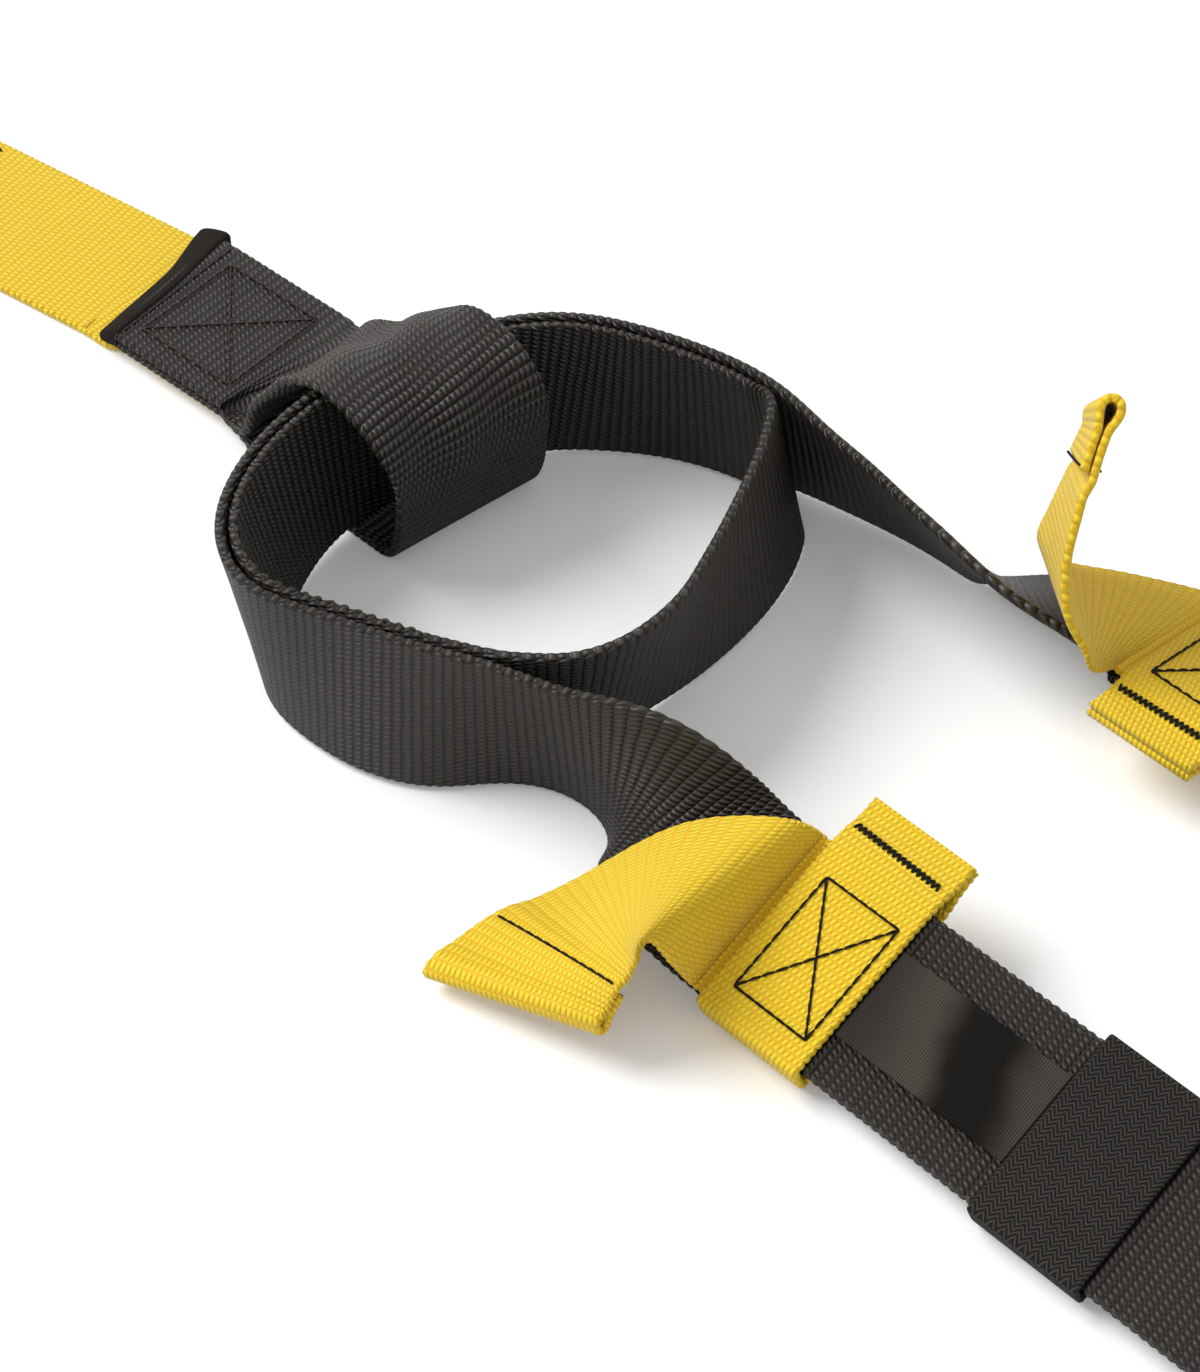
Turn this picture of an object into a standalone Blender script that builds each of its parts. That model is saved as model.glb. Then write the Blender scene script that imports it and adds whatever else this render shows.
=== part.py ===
"""Suspension trainer laid out on the floor, straps, buckles, handles and carabiner.

Metres, +Z up. +X runs along the trainer from the carabiner to the handles, the
origin is on the floor under the joint between the anchor strap and the sling.
"""
import math

import bmesh
import bpy
from mathutils import Matrix, Vector

# Driving dimensions
WEBBING_WIDTH = 0.038
WEBBING_THICKNESS = 0.0022
CLEARANCE = 0.0003
STATION_STEP = 0.006
TAB_STEP = 0.003
LOOP_REACH = 0.0815
LOOP_LENGTH = 0.0870
LOOP_WIDTH = 0.1160
LENGTH_TRAVEL = 0.17

# Anchor strap and the carabiner that it carries
ANCHOR_THICKNESS = 0.0020
ANCHOR_LENGTH = 0.232
ANCHOR_HEADING = math.radians(9.5)
ANCHOR_Y = -0.0020
ANCHOR_LAP = 0.044
ANCHOR_FOLD_BACK = 0.060
ANCHOR_EYE_REACH = 0.030
CARABINER_ROD = 0.0095
CARABINER_LENGTH = 0.100
CARABINER_WIDTH = 0.060
CARABINER_CORNER = 0.0095
CARABINER_NARROW_RADIUS = 0.016
GATE_ROD = 0.0085
GATE_START = 0.006
GATE_LENGTH = 0.050
GATE_NOSE_GAP = 0.0006
GATE_TONGUE = 0.0034
GATE_PIN_RADIUS = 0.0014
GATE_BORE_RADIUS = 0.0026
GATE_BORE_DEPTH = 0.016
GATE_SPRING_WIRE = 0.0004
GATE_SPRING_TURNS = 8
CUT_OVERRUN = 0.004

# Sling
SLING_SETBACK = 0.0265
SLING_START = 0.0085
SLING_HEADING = math.radians(3)
SLING_DROP = 0.012
SLING_HUMP_LENGTH = 0.052
SLING_HUMP_HEIGHT = 0.0430
BAND_LENGTH = 0.0055
BAND_OVERHANG = 0.0008
RING_CLEARANCE = 0.0006

# Each side's run: height of the strap centre above its sleeve, tilt and tab place
TAB_THICKNESS = 0.0018
SLEEVE_LENGTH = 0.025
SLEEVE_TAIL = 0.0115
TAB_LEAD = 0.0030
TAB_RISE = 0.0008
RIBBON_WIDTH = 0.020
RIBBON_THICKNESS = 0.0005
RIBBON_LENGTH = 0.040
ELASTIC_LENGTH = 0.025
ELASTIC_THICKNESS = 0.0013
HEM_LENGTH = 0.013
TRAVEL_ROOM = 0.012
CURVE_LENGTH = 0.110
FRONT_TILT = math.radians(21)
REAR_TILT = math.radians(13)
HANDLE_GAP = 0.0051
SEAM_DEPTH_SHARE = 0.4
TAIL_RISE = 0.030
TAIL_LIFT = 0.0010

# Cam buckle
BUCKLE_CHEEK = 0.0020
BUCKLE_SIDE_PLAY = 0.0008
BUCKLE_PLATE = 0.0016
BUCKLE_FRONT = 0.022
BUCKLE_HEIGHT = 0.0185
BUCKLE_EDGE_RADIUS = 0.0006
CAM_BACK = 0.006
CAM_RADIUS = 0.0052
CAM_AXLE_RADIUS = 0.0022
CAM_LEVER_REACH = 0.036
CAM_LEVER_RISE = 0.011
CAM_LEVER_THICKNESS = 0.0032
CAM_TOOTH = 0.0006
CAM_SPRING_WIRE = 0.0005
CAM_SPRING_TURNS = 4
RIVET_HEAD = 0.0012
RIVET_FLANGE = 0.0014
TURN_BAR_RADIUS = 0.0032
YOKE_BAR_RADIUS = 0.0030
TURN_BAR_BACK = 0.016

# Handle and foot cradle
YOKE_WEBBING = 0.025
YOKE_LENGTH = 0.096
GRIP_LENGTH = 0.096
GRIP_RADIUS = 0.0185
GRIP_WAIST = 0.0165
TUBE_RADIUS = 0.0150
TUBE_WALL = 0.0020
CRADLE_WEBBING = 0.018
WASHER_THICKNESS = 0.0030
WASHER_RADIUS = 0.0182
CRADLE_REACH = 0.112
CRADLE_FOLD_BACK = 0.022
CRADLE_BAND_WIDTH = 0.038
PAD_THICKNESS = 0.0050
PAD_MARGIN = 0.002
ROUND_SIDES = 20

# Each leg of the handle webbing, grip to bar: shares of its reach, half width and climb,
# and how far its width has turned from upright to level
YOKE_LEG_SHARES = [
    (0.72, 0.92, 1.00, 0.05), (0.52, 0.62, 0.85, 0.35), (0.34, 0.30, 0.45, 0.80),
    (0.20, 0.08, 0.08, 1.00), (0.10, 0.00, 0.00, 1.00),
]

# The loop's route, front run to rear run: shares of the loop's length and width, of the
# webbing's width for height, and the roll of the webbing in degrees (90 stands on edge)
ROUTE_SHARES = [
    (1.650, -0.352, 0.280, 21), (1.580, -0.352, 0.280, 21), (1.510, -0.350, 0.285, 22),
    (1.440, -0.350, 0.315, 29), (1.360, -0.345, 0.370, 42), (1.280, -0.336, 0.470, 64),
    (1.190, -0.335, 0.505, 83), (1.090, -0.345, 0.505, 96), (0.985, -0.368, 0.505, 99),
    (0.879, -0.409, 0.505, 94), (0.787, -0.466, 0.508, 86), (0.684, -0.509, 0.510, 83),
    (0.569, -0.537, 0.510, 84), (0.454, -0.556, 0.505, 89), (0.350, -0.564, 0.512, 95),
    (0.255, -0.540, 0.518, 99), (0.175, -0.492, 0.524, 101), (0.110, -0.425, 0.532, 100),
    (0.067, -0.350, 0.548, 98), (0.040, -0.270, 0.562, 95), (0.032, -0.190, 0.575, 93),
    (0.046, -0.100, 0.578, 92), (0.076, 0.000, 0.578, 91), (0.128, 0.105, 0.578, 90),
    (0.200, 0.210, 0.562, 88), (0.293, 0.288, 0.530, 86), (0.397, 0.340, 0.522, 83),
    (0.523, 0.384, 0.518, 80), (0.650, 0.408, 0.518, 79), (0.765, 0.420, 0.516, 76),
    (0.902, 0.426, 0.492, 69), (1.052, 0.436, 0.468, 64), (1.195, 0.434, 0.452, 60),
    (1.293, 0.430, 0.445, 58), (1.420, 0.452, 0.370, 43), (1.530, 0.510, 0.280, 28),
    (1.610, 0.555, 0.228, 18), (1.665, 0.574, 0.210, 14), (1.705, 0.579, 0.208, 13),
    (1.745, 0.579, 0.208, 13), (1.800, 0.579, 0.208, 13), (1.860, 0.579, 0.208, 13),
]
FRONT_SEAM_SHARE = 1.762
REAR_SEAM_SHARE = 1.885
RING_JOIN_SHARES = ((0.870, -0.415), (0.690, 0.414))
RING_CROSSING_SHARES = [
    (0.835, 0.342, 0.515, 78), (0.880, 0.285, 0.512, 79), (0.926, 0.200, 0.510, 82),
    (0.960, 0.108, 0.505, 87), (0.989, 0.000, 0.505, 94), (1.006, -0.103, 0.510, 101),
    (1.000, -0.207, 0.510, 103), (0.968, -0.290, 0.510, 101), (0.920, -0.345, 0.510, 97),
]

# The sling's hump, front edge then rear edge: shares of the hump's length along X, of the
# webbing's width along Y and of the hump's height
SLING_HUMP_SHARES = [
    ((0.00, -0.55, 0.12), (-0.10, 0.48, 0.12)), ((0.13, -0.59, 0.40), (0.02, 0.45, 0.27)),
    ((0.28, -0.63, 0.67), (0.23, 0.40, 0.45)), ((0.40, -0.67, 0.89), (0.44, 0.36, 0.72)),
    ((0.53, -0.70, 1.00), (0.63, 0.33, 0.96)), ((0.66, -0.71, 1.01), (0.80, 0.33, 1.05)),
    ((0.83, -0.70, 0.91), (0.98, 0.34, 1.01)), ((0.95, -0.67, 0.73), (1.09, 0.36, 0.84)),
    ((0.98, -0.64, 0.56), (1.10, 0.37, 0.66)), ((0.96, -0.62, 0.36), (1.07, 0.39, 0.38)),
    ((0.91, -0.59, 0.15), (1.01, 0.41, 0.15)), ((0.82, -0.55, 0.00), (0.90, 0.44, 0.00)),
]

# Each pull tab's edges: shares of the webbing's width from the middle of the sleeve's
# mouth along X, Y and up, first for the edge nearer the other strap, then for the outer
FRONT_TAB_SHARES = [
    ((-0.13, 0.35, 0.33), (-0.08, -0.62, 0.16)), ((-0.28, 0.25, 0.33), (-0.12, -0.73, 0.40)),
    ((-0.61, 0.00, 0.18), (-0.12, -0.80, 0.42)), ((-0.92, -0.42, -0.14), (-0.13, -0.82, 0.29)),
    ((-1.09, -0.87, -0.21), (-0.14, -0.92, 0.10)), ((-1.11, -1.29, -0.23), (-0.16, -1.01, -0.08)),
]
REAR_TAB_SHARES = [
    ((-0.10, -0.63, 0.26), (-0.47, 0.15, 0.02)), ((-0.13, -0.70, 0.42), (-0.76, -0.06, 0.09)),
    ((-0.22, -0.75, 0.63), (-0.89, -0.11, 0.24)), ((-0.32, -0.68, 0.88), (-0.90, -0.02, 0.40)),
    ((-0.39, -0.53, 1.12), (-0.91, 0.10, 0.55)), ((-0.46, -0.36, 1.35), (-0.93, 0.23, 0.69)),
    ((-0.52, -0.16, 1.55), (-0.95, 0.37, 0.82)),
]

HALF_WEBBING = WEBBING_WIDTH / 2
LAYER = WEBBING_THICKNESS + CLEARANCE
SLEEVE_FLOOR = TAB_THICKNESS + CLEARANCE
MAIN_LEVEL = SLEEVE_FLOOR + WEBBING_THICKNESS / 2
TAIL_LEVEL = MAIN_LEVEL + LAYER
STACK_TOP = TAIL_LEVEL + WEBBING_THICKNESS / 2 + CLEARANCE
BUCKLE_INNER = HALF_WEBBING + BUCKLE_SIDE_PLAY
PLATE_BOTTOM = MAIN_LEVEL + WEBBING_THICKNESS / 2 + CLEARANCE
PLATE_TOP = PLATE_BOTTOM + BUCKLE_PLATE
FRONT_LIE_SHARES, REAR_LIE_SHARES = (-0.352, 0.280), (0.579, 0.208)
GRIP_HALF_REACH = (GRIP_LENGTH / 2 + CLEARANCE + CRADLE_WEBBING + CLEARANCE * 2
                   + WASHER_THICKNESS)
YOKE_HALF_REACH = GRIP_HALF_REACH + WEBBING_THICKNESS * 1.5 + YOKE_WEBBING / 4
STRAP_SPACING = (REAR_LIE_SHARES[0] - FRONT_LIE_SHARES[0]) * LOOP_WIDTH
HANDLE_SPREAD = YOKE_HALF_REACH + (HANDLE_GAP - STRAP_SPACING) / 2


class Side:
    """One of the two straps: its seam under the sleeve, lie, inward direction and places."""

    def __init__(self, name, seam_share, tilt, inward, lie_shares):
        self.name = name
        self.seam = LOOP_REACH + seam_share * LOOP_LENGTH
        self.tilt = tilt
        self.inward = inward
        self.y = lie_shares[0] * LOOP_WIDTH
        self.z = lie_shares[1] * WEBBING_WIDTH
        self.tab_x = self.seam - SLEEVE_LENGTH * SEAM_DEPTH_SHARE
        self.elastic_x = self.tab_x + SLEEVE_LENGTH + RIBBON_LENGTH
        self.curve_x = self.elastic_x + ELASTIC_LENGTH + LENGTH_TRAVEL + TRAVEL_ROOM
        self.curve_end = self.curve_x + CURVE_LENGTH
        self.buckle_x = self.curve_end + BUCKLE_FRONT
        self.handle_y = self.y - inward * HANDLE_SPREAD

    def frame(self, x):
        """Strap centre at the main strap's level, width direction and upward normal at x."""
        ease = smooth_step((x - self.curve_x) / CURVE_LENGTH)
        tilt = self.tilt * (1 - ease)
        y = self.y + (self.handle_y - self.y) * ease
        z = self.z + (MAIN_LEVEL - self.z) * ease
        across = Vector((0, self.inward * math.cos(tilt), math.sin(tilt)))
        up = Vector((0, -self.inward * math.sin(tilt), math.cos(tilt)))
        return Vector((x, y, z)), across, up

    def at(self, x, across, level):
        """A point of the run: across from the strap centre and level above the floor side."""
        centre, u, n = self.frame(x)
        return centre + u * across + n * (level - MAIN_LEVEL)

    def tail_level(self, x):
        """The tail lies on the main strap and climbs onto the buckle's plate at the end."""
        climb = smooth_step((x - self.curve_end + TAIL_RISE) / TAIL_RISE)
        t = min(max((x - self.curve_x) / CURVE_LENGTH, 0.0), 1.0)
        loose = TAIL_LIFT * math.sin(math.pi * t)
        return TAIL_LEVEL + loose + (PLATE_TOP + LAYER - WEBBING_THICKNESS / 2 - TAIL_LEVEL) * climb


def smooth_step(t):
    t = min(max(t, 0.0), 1.0)
    return t * t * (3 - 2 * t)


def clear_scene():
    for obj in list(bpy.data.objects):
        bpy.data.objects.remove(obj, do_unlink=True)


def material(name, colour, roughness, metallic=0.0):
    mat = bpy.data.materials.get(name)
    if mat is None:
        mat = bpy.data.materials.new(name)
        mat.use_nodes = True
        shader = mat.node_tree.nodes["Principled BSDF"]
        shader.inputs["Base Color"].default_value = (*colour, 1.0)
        shader.inputs["Roughness"].default_value = roughness
        shader.inputs["Metallic"].default_value = metallic
    return mat


def black_webbing():
    return material("black_webbing", (0.028, 0.026, 0.023), 0.75)


def yellow_webbing():
    return material("yellow_webbing", (0.94, 0.64, 0.03), 0.7)


def black_steel():
    return material("black_steel", (0.03, 0.03, 0.032), 0.35, 0.9)


def bright_steel():
    return material("bright_steel", (0.62, 0.62, 0.60), 0.3, 1.0)


def rubber():
    return material("rubber", (0.035, 0.035, 0.035), 0.6)


def finish(bm, name, mat, pivot=None):
    """Put a bmesh into an object whose origin is its pivot, faces pointing out."""
    bmesh.ops.recalc_face_normals(bm, faces=bm.faces)
    pivot = Vector(pivot) if pivot is not None else Vector((0, 0, 0))
    bmesh.ops.translate(bm, verts=bm.verts, vec=-pivot)
    mesh = bpy.data.meshes.new(name)
    bm.to_mesh(mesh)
    bm.free()
    mesh.shade_smooth()
    mesh.set_sharp_from_angle(angle=math.radians(40))
    obj = bpy.data.objects.new(name, mesh)
    obj.location = pivot
    obj.data.materials.append(mat)
    bpy.context.scene.collection.objects.link(obj)
    return obj


def loft(sections):
    """A bmesh through rings of points with the same count, capped at both ends."""
    bm = bmesh.new()
    rings = [[bm.verts.new(p) for p in ring] for ring in sections]
    count = len(rings[0])
    for a, b in zip(rings, rings[1:]):
        for j in range(count):
            k = (j + 1) % count
            bm.faces.new((a[j], a[k], b[k], b[j]))
    bm.faces.new(list(reversed(rings[0])))
    bm.faces.new(rings[-1])
    return bm


def webbing_mesh(sections, closed):
    """A bmesh of flat webbing, both faces split along the same diagonal."""
    bm = bmesh.new()
    rings = [[bm.verts.new(p) for p in ring] for ring in sections]
    following = rings[1:] + rings[:1] if closed else rings[1:]
    for a, b in zip(rings, following):
        bm.faces.new((a[0], a[1], b[1]))
        bm.faces.new((a[0], b[1], b[0]))
        bm.faces.new((a[2], a[3], b[2]))
        bm.faces.new((a[3], b[3], b[2]))
        bm.faces.new((a[1], a[2], b[2], b[1]))
        bm.faces.new((a[3], a[0], b[0], b[3]))
    if not closed:
        bm.faces.new(list(reversed(rings[0])))
        bm.faces.new(rings[-1])
    return bm


def ribbon(name, stations, width, thickness, mat, closed=False, pivot=None, square=True):
    """Flat webbing along stations of (centre, width direction), its bends mitred.

    A square ribbon turns its width square to its path, except at its two ends."""
    count = len(stations)
    sections = []
    for i, (centre, across) in enumerate(stations):
        ahead = stations[(i + 1) % count if closed else min(i + 1, count - 1)][0]
        behind = stations[i - 1 if closed else max(i - 1, 0)][0]
        forward, backward = ahead - centre, centre - behind
        if forward.length == 0:
            forward = backward
        if backward.length == 0:
            backward = forward
        along = (forward.normalized() + backward.normalized()).normalized()
        mitre = 1 / max(along.dot(forward.normalized()), 0.5)
        w = across
        if square and (closed or 0 < i < count - 1):
            w = (across - along * across.dot(along)).normalized()
        n = along.cross(w).normalized()
        thick = thickness[i] if isinstance(thickness, list) else thickness
        a, b = w * (width / 2), n * (thick / 2 * mitre)
        sections.append([centre - a - b, centre + a - b, centre + a + b, centre - a + b])
    return finish(webbing_mesh(sections, closed), name, mat, pivot)


def smooth_rows(rows, step):
    """Rows of numbers read along a Catmull-Rom curve, about one step apart in space."""
    out = []
    last = len(rows) - 1
    for i in range(last):
        p0, p1, p2, p3 = rows[max(i - 1, 0)], rows[i], rows[i + 1], rows[min(i + 2, last)]
        span = (Vector(p2[:3]) - Vector(p1[:3])).length
        parts = max(1, round(span / step))
        for k in range(parts):
            t = k / parts
            out.append([0.5 * (2 * b + (c - a) * t + (2 * a - 5 * b + 4 * c - d) * t * t
                               + (3 * b - a - 3 * c + d) * t * t * t)
                        for a, b, c, d in zip(p0, p1, p2, p3)])
    out.append(list(rows[-1]))
    return out


def rolled_stations(rows):
    """Stations of a strap whose rows end in a roll angle about its own direction."""
    points = [Vector(row[:3]) for row in rows]
    stations = []
    for i, row in enumerate(rows):
        along = points[min(i + 1, len(points) - 1)] - points[max(i - 1, 0)]
        inward = along.cross(Vector((0, 0, 1))).normalized()
        roll = math.radians(row[3])
        across = inward * math.cos(roll) + Vector((0, 0, 1)) * math.sin(roll)
        stations.append((points[i], across))
    return stations


def shifted(stations, distances):
    """The same stations moved along the webbing's own face normal, mitred at the bends."""
    out = []
    last = len(stations) - 1
    for i, (centre, across) in enumerate(stations):
        forward = stations[min(i + 1, last)][0] - stations[min(i, last - 1)][0]
        backward = stations[max(i, 1)][0] - stations[max(i - 1, 0)][0]
        along = (forward.normalized() + backward.normalized()).normalized()
        mitre = 1 / along.dot(forward.normalized())
        w = (across - along * across.dot(along)).normalized()
        out.append((centre + along.cross(w) * (distances[i] * mitre), across))
    return out


def arc(cx, cz, radius, start, end, parts):
    """Points of an arc in the X-Z plane, angles in degrees from +X towards +Z."""
    points = []
    for k in range(parts + 1):
        angle = math.radians(start + (end - start) * k / parts)
        points.append((cx + radius * math.cos(angle), cz + radius * math.sin(angle)))
    return points


def ease_down(x0, z0, x1, z1, parts):
    """Points of a smooth step in the X-Z plane, without its first point."""
    points = []
    for k in range(1, parts + 1):
        t = k / parts
        points.append((x0 + (x1 - x0) * t, z0 + (z1 - z0) * t * t * (3 - 2 * t)))
    return points


def route_rows(shares):
    return [(LOOP_REACH + x * LOOP_LENGTH, y * LOOP_WIDTH, z * WEBBING_WIDTH, roll)
            for x, y, z, roll in shares]


FRONT = Side("front", FRONT_SEAM_SHARE, FRONT_TILT, 1, FRONT_LIE_SHARES)
REAR = Side("rear", REAR_SEAM_SHARE, REAR_TILT, -1, REAR_LIE_SHARES)


def cylinder_y(name, x, y0, y1, z, radius, mat, flange=0.0, head=0.0, pivot=None):
    """A rod along Y, with a flat rivet head outside each end when head is set."""
    ring = []
    for k in range(ROUND_SIDES):
        angle = 2 * math.pi * k / ROUND_SIDES
        ring.append((math.cos(angle), math.sin(angle)))
    profile = [(y0, radius), (y1, radius)]
    if head:
        big = radius + flange
        profile = [(y0 - head, big), (y0, big), (y0, radius),
                   (y1, radius), (y1, big), (y1 + head, big)]
    sections = [[Vector((x + r * c, y, z + r * s)) for c, s in ring] for y, r in profile]
    return finish(loft(sections), name, mat, pivot)


def turned_y(name, centre, profile, mat):
    """A ring turned about an axis along Y through centre; profile is (y, radius)."""
    bm = bmesh.new()
    rings = []
    for k in range(ROUND_SIDES):
        angle = 2 * math.pi * k / ROUND_SIDES
        rings.append([bm.verts.new((centre.x + r * math.cos(angle), centre.y + y,
                                    centre.z + r * math.sin(angle))) for y, r in profile])
    for k in range(ROUND_SIDES):
        a, b = rings[k], rings[(k + 1) % ROUND_SIDES]
        for j in range(len(profile)):
            m = (j + 1) % len(profile)
            bm.faces.new((a[j], b[j], b[m], a[m]))
    return finish(bm, name, mat, centre)


def extruded_y(outline, y0, y1):
    """A bmesh of an outline in the X-Z plane carried from y0 to y1."""
    return loft([[Vector((x, y, z)) for x, z in outline] for y in (y0, y1)])


def subtract(obj, cutter):
    """Cut one solid from another with a Boolean and keep the cutter out of the model."""
    cutter.hide_render = True
    cutter.display_type = "WIRE"
    cut = obj.modifiers.new("cut_" + cutter.name, "BOOLEAN")
    cut.operation = "DIFFERENCE"
    cut.object = cutter
    return obj


def spring(name, axis_point, length, radius, wire, turns, mat, direction):
    """One unbroken coil about an axis that starts at a point and runs in a direction."""
    direction = Vector(direction).normalized()
    side = Vector((0, 0, 1)) if abs(direction.z) < abs(direction.x) + abs(direction.y) \
        else Vector((1, 0, 0))
    other = direction.cross(side).normalized()
    per_turn = 10
    curve = bpy.data.curves.new(name, "CURVE")
    curve.dimensions = "3D"
    curve.bevel_depth = wire
    curve.bevel_resolution = 1
    curve.use_fill_caps = True
    line = curve.splines.new("POLY")
    count = per_turn * turns + 1
    line.points.add(count - 1)
    points = []
    for k in range(count):
        angle = 2 * math.pi * k / per_turn
        points.append(direction * (length * k / (count - 1))
                      + side * (radius * math.cos(angle)) + other * (radius * math.sin(angle)))
        line.points[k].co = (*points[-1], 1.0)
    least = min((a - b).length for i, a in enumerate(points)
                for b in points[i + per_turn // 2:]) - 2 * wire
    print(name, "least gap to itself", round(least * 1000, 2), "mm")
    obj = bpy.data.objects.new(name, curve)
    obj.location = axis_point
    obj.data.materials.append(mat)
    bpy.context.scene.collection.objects.link(obj)
    return obj


def heading_point(along, lateral, z):
    """A place on the anchor strap: distance from the origin towards the carabiner."""
    back = Vector((-math.cos(ANCHOR_HEADING), -math.sin(ANCHOR_HEADING), 0))
    left = Vector((-back.y, back.x, 0))
    return back * along + left * lateral + Vector((0, ANCHOR_Y, z))


def sling_point(along, z):
    """A place on the sling's flat part: distance from the origin towards the loop."""
    return Vector((along * math.cos(SLING_HEADING),
                   ANCHOR_Y + along * math.sin(SLING_HEADING), z))


ANCHOR_ACROSS = Vector((-math.sin(ANCHOR_HEADING), math.cos(ANCHOR_HEADING), 0))
SLING_ACROSS = Vector((-math.sin(SLING_HEADING), math.cos(SLING_HEADING), 0))
ANCHOR_MID = ANCHOR_THICKNESS / 2
EYE_RADIUS = CARABINER_ROD / 2 + CLEARANCE + ANCHOR_MID
EYE_LEVEL = ANCHOR_MID + EYE_RADIUS
CARABINER_TILT = math.asin((EYE_LEVEL - CARABINER_ROD / 2) / CARABINER_LENGTH)


def anchor_strap():
    """Yellow webbing, flat on the floor, folded back over itself round the carabiner."""
    flat = [(0, ANCHOR_MID), (ANCHOR_LENGTH / 2, ANCHOR_MID)]
    eye = [(ANCHOR_LENGTH + x, z)
           for x, z in arc(0, EYE_LEVEL, EYE_RADIUS, -90, 90, 8)]
    top = eye[-1]
    upper = ANCHOR_MID + ANCHOR_THICKNESS + CLEARANCE
    down = ease_down(top[0], top[1], ANCHOR_LENGTH - ANCHOR_EYE_REACH, upper, 6)
    back = [(ANCHOR_LENGTH - ANCHOR_EYE_REACH - ANCHOR_FOLD_BACK, upper)]
    path = flat + eye + down + back
    stations = [(sling_point(ANCHOR_LAP, ANCHOR_MID), SLING_ACROSS)]
    stations += [(heading_point(a, 0, z), ANCHOR_ACROSS) for a, z in path]
    ribbon("anchor_strap", stations, WEBBING_WIDTH, ANCHOR_THICKNESS, yellow_webbing())


def carabiner_axes():
    """Origin in the eye and the carabiner's axes: along it, across it and square to it."""
    along = heading_point(1, 0, 0) - heading_point(0, 0, 0)
    along = along * math.cos(CARABINER_TILT) - Vector((0, 0, math.sin(CARABINER_TILT)))
    across = -ANCHOR_ACROSS
    return heading_point(ANCHOR_LENGTH, 0, EYE_LEVEL), along, across, along.cross(across)


def carabiner_point(u, v, w=0.0):
    origin, along, across, square = carabiner_axes()
    return origin + along * u + across * v + square * w


def gate_line():
    """Start and direction, in the carabiner's plane, of the side that the gate closes."""
    r1, r2 = CARABINER_CORNER, CARABINER_NARROW_RADIUS
    centre = Vector((r1, r1 - CARABINER_WIDTH / 2))
    far = Vector((CARABINER_LENGTH - r2, 0))
    gap = far - centre
    slope = math.atan2(gap.y, gap.x) - math.acos((r1 - r2) / gap.length)
    normal = Vector((math.cos(slope), math.sin(slope)))
    start, end = centre + normal * r1, far + normal * r2
    return start, (end - start).normalized(), slope


def rod(path, radius, sides=12):
    """A bmesh of a round rod along points (u, v, radius share) of the carabiner's plane."""
    square = carabiner_axes()[3]
    sections = []
    for i, (u, v, share) in enumerate(path):
        ahead, behind = path[min(i + 1, len(path) - 1)], path[max(i - 1, 0)]
        along = (carabiner_point(*ahead[:2]) - carabiner_point(*behind[:2])).normalized()
        side = along.cross(square)
        centre = carabiner_point(u, v)
        sections.append([centre + (side * math.cos(a) + square * math.sin(a)) * radius * share
                         for a in (2 * math.pi * k / sides for k in range(sides))])
    return loft(sections)


def gate_box(name, t0, t1, width, w0, w1):
    """A box on the gate's line, from t0 to t1 along it and from w0 to w1 square to it."""
    start, along, _ = gate_line()
    side = Vector((-along.y, along.x))
    sections = []
    for t in (t0, t1):
        corners = [(-width / 2, w0), (width / 2, w0), (width / 2, w1), (-width / 2, w1)]
        sections.append([carabiner_point(*(start + along * t + side * a), w)
                         for a, w in corners])
    return finish(loft(sections), name, bright_steel(), gate_pivot())


def gate_pivot():
    start, along, _ = gate_line()
    return carabiner_point(*(start + along * GATE_START))


def round_end(t, sign, radius):
    """Points that close a rod on the gate's line with a half ball beyond t."""
    start, along, _ = gate_line()
    points = []
    for degrees in (15, 35, 55, 75, 85):
        angle = math.radians(degrees)
        place = start + along * (t + sign * radius * math.sin(angle))
        points.append((*place, math.cos(angle)))
    return points


def carabiner_body():
    """Steel rod bent to a pear shape, its straight end in the eye, open at the gate."""
    start, along, slope = gate_line()
    r1, r2 = CARABINER_CORNER, CARABINER_NARROW_RADIUS
    near = CARABINER_WIDTH / 2 - r1
    turn = -math.degrees(slope)
    nose = start + along * (GATE_START + GATE_LENGTH + GATE_NOSE_GAP)
    path = [(*nose, 1)]
    path += [(u, v, 1) for u, v in arc(CARABINER_LENGTH - r2, 0, r2, -turn, turn, 12)]
    path += [(u, v, 1) for u, v in arc(r1, near, r1, turn, 180, 6)]
    path += [(u, v, 1) for u, v in arc(r1, -near, r1, 180, 360 - turn, 6)]
    path.append((*(start + along * GATE_START), 1))
    radius = CARABINER_ROD / 2
    path += round_end(GATE_START, 1, radius)
    body = finish(rod(path, radius), "carabiner_body", bright_steel(), gate_pivot())
    shoulder = GATE_START - GATE_ROD / 2 - CLEARANCE
    reach = GATE_START + radius + CUT_OVERRUN
    wide = CARABINER_ROD + CUT_OVERRUN
    edge = GATE_TONGUE / 2
    for label, w0, w1 in (("upper", edge, wide), ("lower", -wide, -edge)):
        subtract(body, gate_box("tongue_cut_" + label, shoulder, reach, wide, w0, w1))
    subtract(body, gate_pin("body_pin_hole", GATE_PIN_RADIUS + CLEARANCE, CUT_OVERRUN))


def gate_pin(name, radius, overrun=0.0):
    """The pin that the gate turns on, square to the carabiner's plane."""
    start, along, _ = gate_line()
    u, v = start + along * GATE_START
    half = GATE_ROD / 2 + overrun
    sections = []
    for w in (-half, half):
        ring = []
        for k in range(ROUND_SIDES):
            angle = 2 * math.pi * k / ROUND_SIDES
            ring.append(carabiner_point(u + radius * math.cos(angle),
                                        v + radius * math.sin(angle), w))
        sections.append(ring)
    return finish(loft(sections), name, bright_steel(), gate_pivot())


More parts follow.
